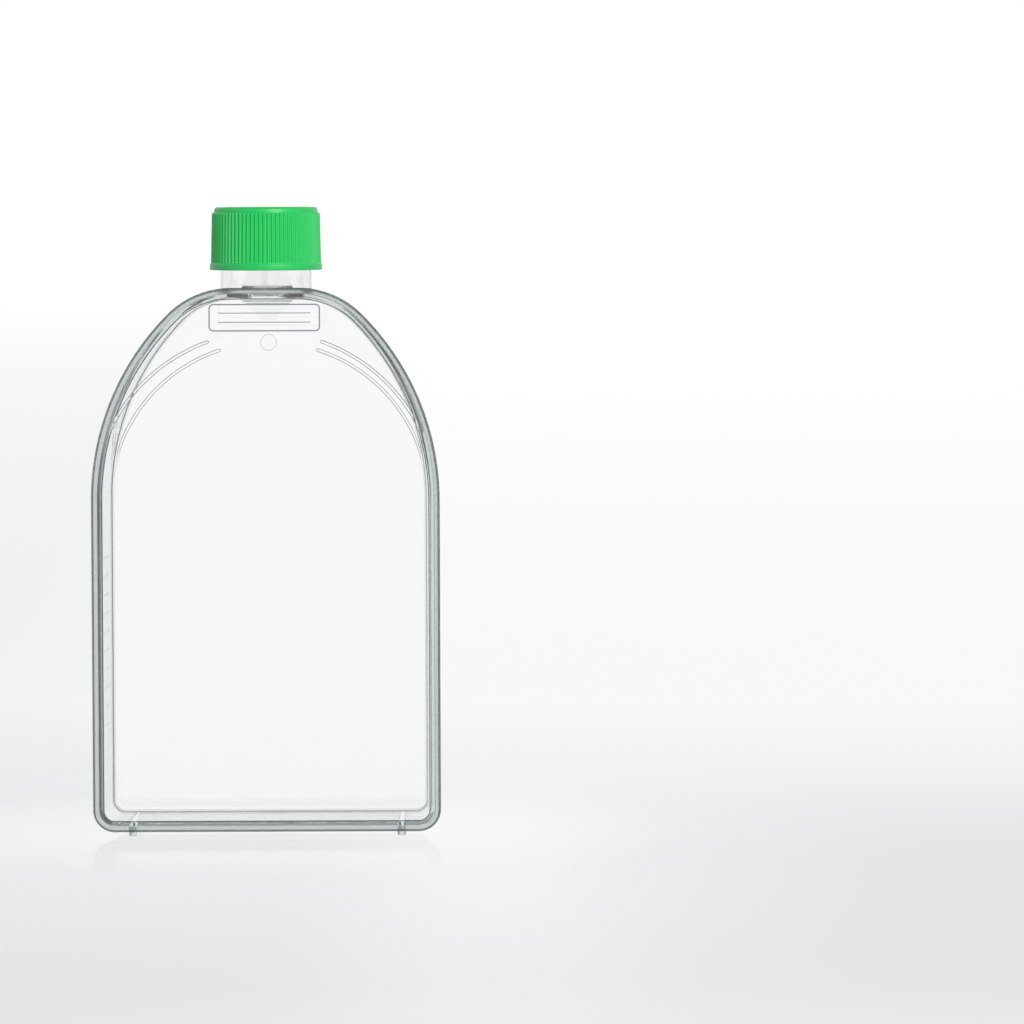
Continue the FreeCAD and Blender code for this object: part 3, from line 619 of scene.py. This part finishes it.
polystyrene = clear_polystyrene()
coat(tray, polystyrene)
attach(tray, "flask")
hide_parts("flask_body")

# ============================================================ top plate
# The lid is a second clear moulding, welded on: a flat window inside a raised bead, a short skirt that
# drops over the tray's edge, and two stacking arcs that match those under the next flask.

BEAD_WIDE = 3.8 * MM
RIM_ROUND = 0.9 * MM
WINDOW_FACE = lid_low.y + BEAD
LID_CROWN = RIM_HIGH - 15.0 * MM
LID_ARC_R = HALF_WIDE - 1.1 * MM
LID_ARC_FROM_NECK = 19.5 * MM
LID_ARC_LOW = LID_CROWN - 34 * MM

top_plate = outline_solid(
    "top_plate_moulding",
    [
        (BEAD_WIDE + TAIL, WINDOW_FACE, 0),
        (BEAD_WIDE, WINDOW_FACE, EDGE_ROUND),
        (BEAD_WIDE, lid_low.y, 1.5 * EDGE_ROUND),
        (0, lid_low.y, RIM_ROUND),
        (0, lid_high.y, 2 * EDGE_ROUND),
        (SKIRT_WALL, lid_high.y, EDGE_ROUND),
        (SKIRT_WALL, LID_UNDER, EDGE_ROUND),
        (SKIRT_WALL + TAIL, LID_UNDER, 0),
    ],
)
lid_arcs = [
    stacking_arc(side, LID_ARC_R, LID_CROWN, LID_ARC_FROM_NECK, LID_ARC_LOW, WINDOW_FACE, lid_low.y)
    for side in (1, -1)
]
combine(top_plate, lid_arcs, "UNION")
smooth_moulding(top_plate)
coat(top_plate, polystyrene)
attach(top_plate, "flask")
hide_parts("top_plate")

# ------------------------------------------------------------ write-on field
# A plain field for writing the culture's name and date, pad printed in grey ink on the window: a frame
# with round corners and two ruled lines.

INK = 0.03 * MM
FIELD_HALF = 19.0 * MM
FIELD_LOW = 172.7 * MM
FIELD_HIGH = 182.1 * MM
FIELD_CORNER = 1.6 * MM
FRAME_WIDE = 0.45 * MM
RULE_WIDE = 0.3 * MM
RULE_HALF = FIELD_HALF - 2 * FIELD_CORNER
INK_SPECKLE = 0.4 * MM


def ink_shape(name, half, low, high, corner, sink=0.0, corner_steps=6):
    """A flat printed shape with round corners, standing an ink film proud of the window."""
    corners = ((half, low, -90), (half, high, 0), (-half, high, 90), (-half, low, 180))
    line = []
    for x, z, start in corners:
        centre = (x - math.copysign(corner, x), z + (corner if z == low else -corner))
        line += arc_points(centre, corner, math.radians(start), math.radians(start + 90), corner_steps)
    front, back = WINDOW_FACE - INK - sink, WINDOW_FACE + INK / 2 + sink
    return rings_to_solid(name, [[(x, y, z) for x, z in line] for y in (back, front)])


field = ink_shape("write_on_field_print", FIELD_HALF, FIELD_LOW, FIELD_HIGH, FIELD_CORNER)
hollow = ink_shape(
    "hollow",
    FIELD_HALF - FRAME_WIDE,
    FIELD_LOW + FRAME_WIDE,
    FIELD_HIGH - FRAME_WIDE,
    FIELD_CORNER - FRAME_WIDE,
    INK,
)
combine(field, [hollow], "DIFFERENCE")
rules = []
for share in (1 / 3, 2 / 3):
    middle = FIELD_LOW + share * (FIELD_HIGH - FIELD_LOW)
    low, high = middle - RULE_WIDE / 2, middle + RULE_WIDE / 2
    rules.append(ink_shape("rule", RULE_HALF, low, high, 0.45 * RULE_WIDE))
combine(field, rules, "UNION")

# Pad-printing ink, dried on the plastic: a thin grey film, half matt, with a fine uneven speckle. The
# speckle is drawn coarser than the real one, so that it shows.


def printing_ink():
    material, tree, place = new_material("grey_pad_printing_ink")
    speckle = add_node(tree, "ShaderNodeTexNoise", Vector=place, Scale=1 / INK_SPECKLE, Detail=2.0)
    colour = add_node(
        tree,
        "ShaderNodeMix",
        {"data_type": "RGBA"},
        Factor=speckle.outputs["Fac"],
        i6=linear("#6F7A78"),
        i7=linear("#87918F"),
    )
    bump = add_node(
        tree, "ShaderNodeBump", Height=speckle.outputs["Fac"], Strength=0.1, Distance=0.1 * MM
    )
    ink = add_node(
        tree,
        "ShaderNodeBsdfPrincipled",
        Base_Color=colour.outputs[2],
        Roughness=0.45,
        Normal=bump.outputs["Normal"],
        IOR=1.5,
    )
    add_node(tree, "ShaderNodeOutputMaterial", Surface=ink.outputs["BSDF"])
    return material


coat(field, printing_ink())
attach(field, "flask")

# ============================================================ screw cap
# The cap is moulded in green polyethylene: 80 grip ribs between a plain lower band and a smooth rounded
# rim, a raised disc with six vent holes, a plug ring that seals the bore, and a thread inside.

CAP_FOOT = cap_low.z
CAP_TOP = cap_high.z
CAP_R = cap_high.x
GRIP_R = CAP_R - 0.4 * MM
GRIP_TOP_R = GRIP_R - 0.35 * MM
RIM_R = 17.75 * MM
CAP_INNER_R = 17.1 * MM
ROOF_TOP = CAP_TOP - 0.7 * MM
ROOF_UNDER = ROOF_TOP - 1.6 * MM
BOSS_R = 12.3 * MM
BOSS_TOP = ROOF_TOP + 0.35 * MM
BAND_TOP = CAP_FOOT + 2.0 * MM
PLUG_R = 13.32 * MM
PLUG_WALL = 1.2 * MM
PLUG_INNER_R = PLUG_R - PLUG_WALL
PLUG_FOOT = ROOF_UNDER - 3.0 * MM
RIB_COUNT = 80
GROOVE_DEEP = 0.5 * MM
GROOVE_STEPS = 10
CAP_THREAD_START = MOUTH - 13.17 * MM
CAP_THREAD_TURNS = 1.25
VENT_COUNT = 6
VENT_R = 1.0 * MM
VENT_PLACE = 5.7 * MM

membrane_low, membrane_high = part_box("vent_membrane")
MEMBRANE_R = membrane_high.x
WELD_RING_R = MEMBRANE_R - 1.6 * MM

# The cap's section runs from the roof's middle down the outside and back up inside. Each corner of the
# two outer runs is (radius, height, rounding), and of the two grip runs (radius, height, groove's share).
roof_run = [
    (0, BOSS_TOP, 0),
    (BOSS_R - 0.35 * MM, BOSS_TOP, 0.25 * MM),
    (BOSS_R, ROOF_TOP, 0.25 * MM),
    (CAP_R - 4.0 * MM, ROOF_TOP, 0.6 * MM),
    (CAP_R - 3.1 * MM, CAP_TOP, 0.8 * MM),
    (RIM_R, CAP_TOP, 1.1 * MM),
    (RIM_R, CAP_TOP - 1.8 * MM, 0.15 * MM),
    (GRIP_TOP_R - GROOVE_DEEP, CAP_TOP - 1.9 * MM, 0),
]
grip_top = [
    (GRIP_TOP_R - 0.3 * MM, CAP_TOP - 2.0 * MM, 0.3),
    (GRIP_TOP_R - 0.12 * MM, CAP_TOP - 2.15 * MM, 0.7),
    (GRIP_TOP_R, CAP_TOP - 2.4 * MM, 1.0),
]
grip_foot = [
    (GRIP_R, BAND_TOP + 0.8 * MM, 1.0),
    (GRIP_R, BAND_TOP + 0.55 * MM, 0.6),
    (GRIP_R, BAND_TOP + 0.4 * MM, 0.0),
]
under_run = [
    (GRIP_R, BAND_TOP + 0.35 * MM, 0),
    (CAP_R, BAND_TOP, 0.3 * MM),
    (CAP_R, CAP_FOOT, 0.3 * MM),
    (CAP_INNER_R, CAP_FOOT, 0.3 * MM),
    (CAP_INNER_R, ROOF_UNDER, 0.3 * MM),
    (PLUG_R, ROOF_UNDER, 0.2 * MM),
    (PLUG_R, PLUG_FOOT + PLUG_WALL / 2, 0.3 * MM),
    (PLUG_R - PLUG_WALL / 2, PLUG_FOOT, 0.15 * MM),
    (PLUG_INNER_R, PLUG_FOOT, 0.15 * MM),
    (PLUG_INNER_R, ROOF_UNDER, 0.15 * MM),
    (MEMBRANE_R, ROOF_UNDER, 0),
    (MEMBRANE_R, membrane_high.z, 0.1 * MM),
    (WELD_RING_R, membrane_high.z, 0.1 * MM),
    (WELD_RING_R, ROOF_UNDER, 0.1 * MM),
    (0, ROOF_UNDER, 0),
]
cap_section = [(r, z, 0.0) for r, z in soften(roof_run)]
cap_section += grip_top + grip_foot
cap_section += [(r, z, 0.0) for r, z in soften(under_run)]

# Polyethylene, coloured in the mass and moulded against fine-grained steel: an even, slightly waxy
# green with a satin sheen, faintly cloudy from the flow of the colour. The steel's grain is drawn
# coarser than the real one, so that it shows.

COLOUR_CLOUD = 100 / 7 * MM
STEEL_GRAIN = 0.625 * MM


def green_polyethylene():
    material, tree, place = new_material("green_polyethylene_satin_moulding")
    cloud = add_node(tree, "ShaderNodeTexNoise", Vector=place, Scale=1 / COLOUR_CLOUD, Detail=2.0)
    colour = add_node(
        tree,
        "ShaderNodeMix",
        {"data_type": "RGBA"},
        Factor=cloud.outputs["Fac"],
        i6=linear("#0FC259"),
        i7=linear("#17CA5F"),
    )
    grain = add_node(
        tree, "ShaderNodeTexNoise", Vector=place, Scale=1 / STEEL_GRAIN, Detail=2.0
    ).outputs["Fac"]
    rough = add_node(tree, "ShaderNodeMapRange", Value=grain, To_Min=0.32, To_Max=0.42)
    bump = add_node(tree, "ShaderNodeBump", Height=grain, Strength=0.15, Distance=0.1 * MM)
    satin = add_node(
        tree,
        "ShaderNodeBsdfPrincipled",
        Base_Color=colour.outputs[2],
        Roughness=rough.outputs["Result"],
        Normal=bump.outputs["Normal"],
        IOR=1.51,
    )
    add_node(tree, "ShaderNodeOutputMaterial", Surface=satin.outputs["BSDF"])
    return material


polyethylene = green_polyethylene()


def ribbed_cap_tree():
    """Turns a section's points round the neck's axis and presses the grip's grooves into them."""
    tree, given = new_tree(
        "ribbed_cap",
        Section="Geometry",
        Rib_Count="Int",
        Steps_Per_Rib="Int",
        Groove_Depth="Float",
        Material="Material",
    )
    multiply, divide = {"operation": "MULTIPLY"}, {"operation": "DIVIDE"}
    # A grid has one column for each step round the cap, and its rows are the section's points.
    section = given["Section"]
    rows = add_node(tree, "GeometryNodeAttributeDomainSize", Geometry=section).outputs["Point Count"]
    steps = add_node(tree, "ShaderNodeMath", multiply, i0=given["Rib Count"], i1=given["Steps Per Rib"])
    columns = add_node(tree, "ShaderNodeMath", {"operation": "ADD"}, i0=steps.outputs[0], i1=1.0)
    grid = add_node(tree, "GeometryNodeMeshGrid", Vertices_X=columns.outputs[0], Vertices_Y=rows)
    index = add_node(tree, "GeometryNodeInputIndex").outputs[0]
    step = add_node(tree, "ShaderNodeMath", divide, i0=index, i1=rows)
    step = add_node(tree, "ShaderNodeMath", {"operation": "FLOOR"}, i0=step.outputs[0])
    row = add_node(tree, "ShaderNodeMath", {"operation": "FLOORED_MODULO"}, i0=index, i1=rows).outputs[0]
    turn = add_node(tree, "ShaderNodeMath", divide, i0=step.outputs[0], i1=steps.outputs[0])
    angle = add_node(tree, "ShaderNodeMath", multiply, i0=turn.outputs[0], i1=math.tau).outputs[0]
    # The grooves are a wave round the cap, flattened so that ribs and grooves have short flanks.
    phase = add_node(tree, "ShaderNodeMath", multiply, i0=angle, i1=given["Rib Count"])
    wave = add_node(tree, "ShaderNodeMath", {"operation": "COSINE"}, i0=phase.outputs[0])
    wave = add_node(
        tree,
        "ShaderNodeMapRange",
        {"interpolation_type": "SMOOTHSTEP"},
        Value=wave.outputs[0],
        From_Min=0.75,
        From_Max=-0.75,
    )
    point = add_node(tree, "GeometryNodeInputPosition")
    spot = add_node(
        tree,
        "GeometryNodeSampleIndex",
        {"data_type": "FLOAT_VECTOR"},
        Geometry=section,
        Value=point.outputs[0],
        Index=row,
    )
    share = add_node(
        tree, "GeometryNodeInputNamedAttribute", {"data_type": "FLOAT"}, Name="groove_share"
    )
    share = add_node(
        tree,
        "GeometryNodeSampleIndex",
        {"data_type": "FLOAT"},
        Geometry=section,
        Value=share.outputs[0],
        Index=row,
    )
    parts = add_node(tree, "ShaderNodeSeparateXYZ", i0=spot.outputs[0]).outputs
    depth = add_node(tree, "ShaderNodeMath", multiply, i0=share.outputs[0], i1=given["Groove Depth"])
    depth = add_node(tree, "ShaderNodeMath", multiply, i0=depth.outputs[0], i1=wave.outputs[0])
    radius = add_node(
        tree, "ShaderNodeMath", {"operation": "SUBTRACT"}, i0=parts["X"], i1=depth.outputs[0]
    ).outputs[0]
    cosine = add_node(tree, "ShaderNodeMath", {"operation": "COSINE"}, i0=angle)
    sine = add_node(tree, "ShaderNodeMath", {"operation": "SINE"}, i0=angle)
    across = add_node(tree, "ShaderNodeMath", multiply, i0=radius, i1=cosine.outputs[0])
    deep = add_node(tree, "ShaderNodeMath", multiply, i0=radius, i1=sine.outputs[0])
    place = add_node(
        tree, "ShaderNodeCombineXYZ", X=across.outputs[0], Y=deep.outputs[0], Z=parts["Z"]
    ).outputs[0]
    turned = add_node(tree, "GeometryNodeSetPosition", Geometry=grid.outputs["Mesh"], Position=place)
    closed = add_node(
        tree, "GeometryNodeMergeByDistance", Geometry=turned.outputs[0], Distance=0.001 * MM
    )
    return finish_tree(tree, closed.outputs[0], given["Material"])


def ring_tree():
    """Repeats a piece evenly round the neck's axis."""
    tree, given = new_tree("ring_of_pieces", Piece="Geometry", Count="Int", Material="Material")
    points = add_node(tree, "GeometryNodePoints", Count=given["Count"])
    index = add_node(tree, "GeometryNodeInputIndex").outputs[0]
    share = add_node(tree, "ShaderNodeMath", {"operation": "DIVIDE"}, i0=index, i1=given["Count"])
    angle = add_node(tree, "ShaderNodeMath", {"operation": "MULTIPLY"}, i0=share.outputs[0], i1=math.tau)
    turn = add_node(tree, "ShaderNodeCombineXYZ", Z=angle.outputs[0])
    copies = add_node(
        tree,
        "GeometryNodeInstanceOnPoints",
        Points=points.outputs[0],
        Instance=given["Piece"],
        Rotation=turn.outputs[0],
    )
    return finish_tree(tree, copies.outputs[0], given["Material"])


section_mesh = bpy.data.meshes.new("cap_section")
section_mesh.from_pydata([(r, 0, z) for r, z, share in cap_section], [], [])
shares = section_mesh.attributes.new("groove_share", "FLOAT", "POINT")
shares.data.foreach_set("value", [share for r, z, share in cap_section])
screw_cap = place_in_scene("screw_cap_moulding", section_mesh)
make_with(
    screw_cap,
    ribbed_cap_tree(),
    Rib_Count=RIB_COUNT,
    Steps_Per_Rib=GROOVE_STEPS,
    Groove_Depth=GROOVE_DEEP,
    Material=polyethylene,
)

# The vents are moulded through the raised disc, each with a soft lip round it and an eased edge.

VENT_LOW_R = 0.8 * VENT_R
VENT_TAIL = 0.2 * MM  # the radius at which a vent's small profiles start and end
LIP_R = VENT_R + 0.55 * MM
LIP_TOP = BOSS_TOP + 0.18 * MM
HOLE_LOW = ROOF_UNDER - 0.5 * MM
HOLE_HIGH = BOSS_TOP + 0.3 * MM


def moved_lathe(name, profile, segments=32):
    """A small solid of revolution that stands where the first vent is."""
    piece = turned_solid(name, profile, segments)
    for corner in piece.data.vertices:
        corner.co.x += VENT_PLACE
    return piece


vent_lips = moved_lathe(
    "vent_lips",
    [
        (VENT_TAIL, BOSS_TOP - WALL_SINK, 0),
        (LIP_R, BOSS_TOP - WALL_SINK, 0),
        (LIP_R, BOSS_TOP, 0),
        (LIP_R - 0.2 * MM, LIP_TOP, 0.15 * MM),
        (VENT_TAIL, LIP_TOP, 0),
    ],
)
vent_holes = moved_lathe(
    "vent_holes",
    [
        (VENT_TAIL, HOLE_LOW, 0),
        (VENT_LOW_R, HOLE_LOW, 0),
        (VENT_LOW_R, BOSS_TOP - 0.5 * MM, 0.4 * MM),
        (VENT_R + 0.1 * MM, BOSS_TOP + 0.1 * MM, 0.2 * MM),
        (VENT_R + 0.3 * MM, HOLE_HIGH, 0),
        (VENT_TAIL, HOLE_HIGH, 0),
    ],
)
ring_of_vents = ring_tree()
for part in (vent_lips, vent_holes):
    make_with(part, ring_of_vents, Count=VENT_COUNT, Material=polyethylene)

cap_thread = thread_ridge(
    "cap_thread", CAP_INNER_R, CAP_INNER_R - THREAD_DEEP, CAP_THREAD_START, CAP_THREAD_TURNS
)
turn_outwards(screw_cap.data)
combine(screw_cap, [vent_lips, cap_thread], "UNION")
combine(screw_cap, [vent_holes], "DIFFERENCE")
smooth_moulding(screw_cap, 50)
coat(screw_cap, polyethylene)
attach(screw_cap, "cap")
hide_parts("screw_cap")

# ============================================================ vent membrane
# A thin disc punched from stretched PTFE film and welded to a ring under the vent holes: it lets gas
# through and keeps dust and droplets out.

FILM_ROUND = 0.08 * MM
# Stretched PTFE is a matt white web of fibrils. The web is drawn about a thousand times as coarse as
# the real one, so that it shows.
FILM_WEB = 0.4 * MM
FILM_CLOUD = 2.5 * MM


def porous_membrane():
    material, tree, place = new_material("white_expanded_ptfe_membrane")
    web = add_node(
        tree, "ShaderNodeTexVoronoi", {"feature": "DISTANCE_TO_EDGE"}, Vector=place, Scale=1 / FILM_WEB
    )
    cloud = add_node(tree, "ShaderNodeTexNoise", Vector=place, Scale=1 / FILM_CLOUD, Detail=3.0)
    colour = add_node(
        tree,
        "ShaderNodeMix",
        {"data_type": "RGBA"},
        Factor=cloud.outputs["Fac"],
        i6=linear("#F4F5F2"),
        i7=linear("#E4E7E3"),
    )
    bump = add_node(
        tree, "ShaderNodeBump", Height=web.outputs["Distance"], Strength=0.4, Distance=0.2 * MM
    )
    felt = add_node(
        tree,
        "ShaderNodeBsdfPrincipled",
        Base_Color=colour.outputs[2],
        Roughness=0.85,
        Normal=bump.outputs["Normal"],
        IOR=1.35,
    )
    add_node(tree, "ShaderNodeOutputMaterial", Surface=felt.outputs["BSDF"])
    return material


membrane = turned_solid(
    "vent_membrane_disc",
    [
        (TAIL, membrane_low.z, 0),
        (MEMBRANE_R, membrane_low.z, FILM_ROUND),
        (MEMBRANE_R, membrane_high.z, FILM_ROUND),
        (TAIL, membrane_high.z, 0),
    ],
)
smooth_moulding(membrane)
coat(membrane, porous_membrane())
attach(membrane, "vent")
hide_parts("vent_membrane")

# ============================================================ studio
# A plain pale floor, smooth enough to mirror the flask's foot, fades into a white background. Two soft
# lamps and a faint sky light it at a plain level, and clear parts see the same white all round them.

FLOOR_R = 8.0
FLOOR_CORNERS = 72


def far_light(tree, path):
    """The studio's white, grey-green for light that has been turned back twice or more inside clear walls."""
    lost = add_node(
        tree, "ShaderNodeMapRange", Value=path.outputs["Glossy Depth"], From_Min=1.0, From_Max=2.4
    )
    tone = add_node(
        tree,
        "ShaderNodeMix",
        {"data_type": "RGBA"},
        Factor=lost.outputs[0],
        i6=linear("#FFFFFF"),
        i7=linear("#4C5855"),
    )
    return tone.outputs[2]


# Satin-painted board: matt and nearly white, with a low sheen that mirrors only what stands close to it.


def studio_floor():
    material, tree, place = new_material("pale_studio_floor")
    add, multiply, maximum = ({"operation": name} for name in ("ADD", "MULTIPLY", "MAXIMUM"))
    away = add_node(tree, "ShaderNodeVectorMath", {"operation": "LENGTH"}, i0=place).outputs["Value"]
    parts = add_node(tree, "ShaderNodeSeparateXYZ", i0=place).outputs
    near = add_node(
        tree,
        "ShaderNodeMapRange",
        Value=parts["Y"],
        From_Min=-0.4,
        From_Max=0.5,
        To_Min=0.54,
        To_Max=0.83,
    )
    fade = add_node(
        tree,
        "ShaderNodeMapRange",
        Value=away,
        From_Min=0.6,
        From_Max=FLOOR_R,
        To_Min=near.outputs[0],
        To_Max=1.0,
    )
    # A painted pool of light lies before the flask and fades to the right. Further off, the right side is
    # painted brighter.
    off_glow = add_node(tree, "ShaderNodeMath", {"operation": "SUBTRACT"}, i0=parts["X"], i1=0.075)
    off_glow = add_node(tree, "ShaderNodeMath", {"operation": "ABSOLUTE"}, i0=off_glow.outputs[0])
    eased = []
    for value, given, wanted in (
        (off_glow.outputs[0], (0.07, 0.0), (0.05, 0.165)),
        (parts["X"], (0.1, 0.24), (0.0, -0.145)),
        (parts["Y"], (-0.5, -0.15), (-0.15, 0.0)),
        (parts["X"], (-0.2, 0.06), (0.0, 0.085)),
        (parts["Y"], (-0.2, 0.3), (0.0, 1.0)),
    ):
        ease = add_node(
            tree,
            "ShaderNodeMapRange",
            {"interpolation_type": "SMOOTHSTEP"},
            Value=value,
            From_Min=given[0],
            From_Max=given[1],
            To_Min=wanted[0],
            To_Max=wanted[1],
        )
        eased.append(ease.outputs[0])
    glow, right, close, behind, far = eased
    front = add_node(tree, "ShaderNodeMath", add, i0=glow, i1=right)
    front = add_node(tree, "ShaderNodeMath", add, i0=front.outputs[0], i1=close)
    uneven = add_node(tree, "ShaderNodeMix", i0=far, i2=front.outputs[0], i3=behind)
    shown = add_node(
        tree,
        "ShaderNodeMath",
        {"operation": "ADD", "use_clamp": True},
        i0=fade.outputs[0],
        i1=uneven.outputs[0],
    )
    # The camera sees the painted tone, and the clear parts see a plain one in and through themselves.
    path = add_node(tree, "ShaderNodeLightPath")
    rays = path.outputs
    in_clear = add_node(
        tree, "ShaderNodeMath", maximum, i0=rays["Is Glossy Ray"], i1=rays["Is Transmission Ray"]
    )
    clear_fade = add_node(
        tree,
        "ShaderNodeMapRange",
        Value=fade.outputs[0],
        From_Min=0.54,
        From_Max=0.86,
        To_Min=0.9,
        To_Max=1.0,
    )
    clear_share = add_node(
        tree, "ShaderNodeMath", multiply, i0=in_clear.outputs[0], i1=clear_fade.outputs[0]
    )
    open_share = add_node(
        tree, "ShaderNodeMath", multiply, i0=rays["Is Camera Ray"], i1=shown.outputs[0]
    )
    share = add_node(
        tree, "ShaderNodeMath", maximum, i0=open_share.outputs[0], i1=clear_share.outputs[0]
    )
    matt = add_node(tree, "ShaderNodeBsdfDiffuse", Color=linear("#EFEDEF"))
    mirror = add_node(tree, "ShaderNodeBsdfGlossy", Color=linear("#FFFFFF"), Roughness=0.035)
    sheen = add_node(
        tree, "ShaderNodeMapRange", Value=away, From_Min=0.03, From_Max=0.15, To_Min=0.6, To_Max=0.0
    )
    grazing = add_node(tree, "ShaderNodeLayerWeight", Blend=0.5).outputs["Facing"]
    sheen = add_node(tree, "ShaderNodeMath", multiply, i0=sheen.outputs[0], i1=grazing)
    painted = add_node(
        tree, "ShaderNodeMixShader", i0=sheen.outputs[0], i1=matt.outputs[0], i2=mirror.outputs[0]
    )
    white = add_node(tree, "ShaderNodeEmission", Color=far_light(tree, path), Strength=1.0)
    mixed = add_node(
        tree, "ShaderNodeMixShader", i0=share.outputs[0], i1=painted.outputs[0], i2=white.outputs[0]
    )
    add_node(tree, "ShaderNodeOutputMaterial", Surface=mixed.outputs[0])
    return material


floor_rim = [math.tau * corner / FLOOR_CORNERS for corner in range(FLOOR_CORNERS)]
floor = mesh_piece(
    "studio_floor",
    [(FLOOR_R * math.cos(turn), FLOOR_R * math.sin(turn), 0) for turn in floor_rim],
    [list(range(FLOOR_CORNERS))],
)
floor.data.materials.append(studio_floor())

world = bpy.data.worlds.new("white_studio")
world.use_nodes = True
bpy.context.scene.world = world
tree = world.node_tree
tree.nodes.clear()
path = add_node(tree, "ShaderNodeLightPath")
rays, maximum = path.outputs, {"operation": "MAXIMUM"}
seen = add_node(tree, "ShaderNodeMath", maximum, i0=rays["Is Camera Ray"], i1=rays["Is Glossy Ray"])
seen = add_node(
    tree, "ShaderNodeMath", maximum, i0=seen.outputs[0], i1=rays["Is Transmission Ray"]
)
ambient = add_node(tree, "ShaderNodeBackground", Color=linear("#EAF4FF"), Strength=0.18)
white = add_node(tree, "ShaderNodeBackground", Color=far_light(tree, path), Strength=1.0)
mixed = add_node(tree, "ShaderNodeMixShader", i0=seen.outputs[0], i1=ambient.outputs[0], i2=white.outputs[0])
add_node(tree, "ShaderNodeOutputWorld", Surface=mixed.outputs[0])


LAMPS_AIM = Vector((0, 0, 0.1))


def soft_lamp(name, place, size, power, colour="#FFFFFF"):
    """A square soft box that looks at the middle of the flask."""
    lamp = bpy.data.lights.new(name, "AREA")
    lamp.color = linear(colour)[:3]
    lamp.shape, lamp.size, lamp.energy = "SQUARE", size, power
    holder = place_in_scene(name, lamp)
    holder.location = place
    holder.rotation_euler = (LAMPS_AIM - Vector(place)).to_track_quat("-Z", "Y").to_euler()
    return holder


# The key lamp leaves the clear mouldings out, since its glints would break up their edges.
key = soft_lamp("key", (0.70, -1.50, 0.9), 0.6, 25)
left_out = bpy.data.collections.new("clear_mouldings")
key.light_linking.receiver_collection = left_out
for piece in (tray, top_plate):
    left_out.objects.link(piece)
for entry in left_out.collection_objects:
    entry.light_linking.link_state = "EXCLUDE"
soft_lamp("fill", (-1.5, -0.3, 0.6), 0.9, 1.5, "#D5ECFF")

# The camera stands a little to the right, looks slightly down, and has a long lens.
camera_data = bpy.data.cameras.new("camera")
camera_data.lens, camera_data.sensor_width = 211.9, 36.0
camera_data.clip_end = 50
pan, tip, roll = (
    Matrix.Rotation(math.radians(angle), 3, axis)
    for angle, axis in ((-0.146, "Z"), (90 - 3.225, "X"), (-0.191, "Z"))
)
camera = place_in_scene("camera", camera_data)
camera.location = (0.0789, -2.072, 0.2265)
camera.rotation_euler = (pan @ tip @ roll).to_euler()
bpy.context.scene.camera = camera

bpy.context.scene.view_settings.view_transform = "Standard"
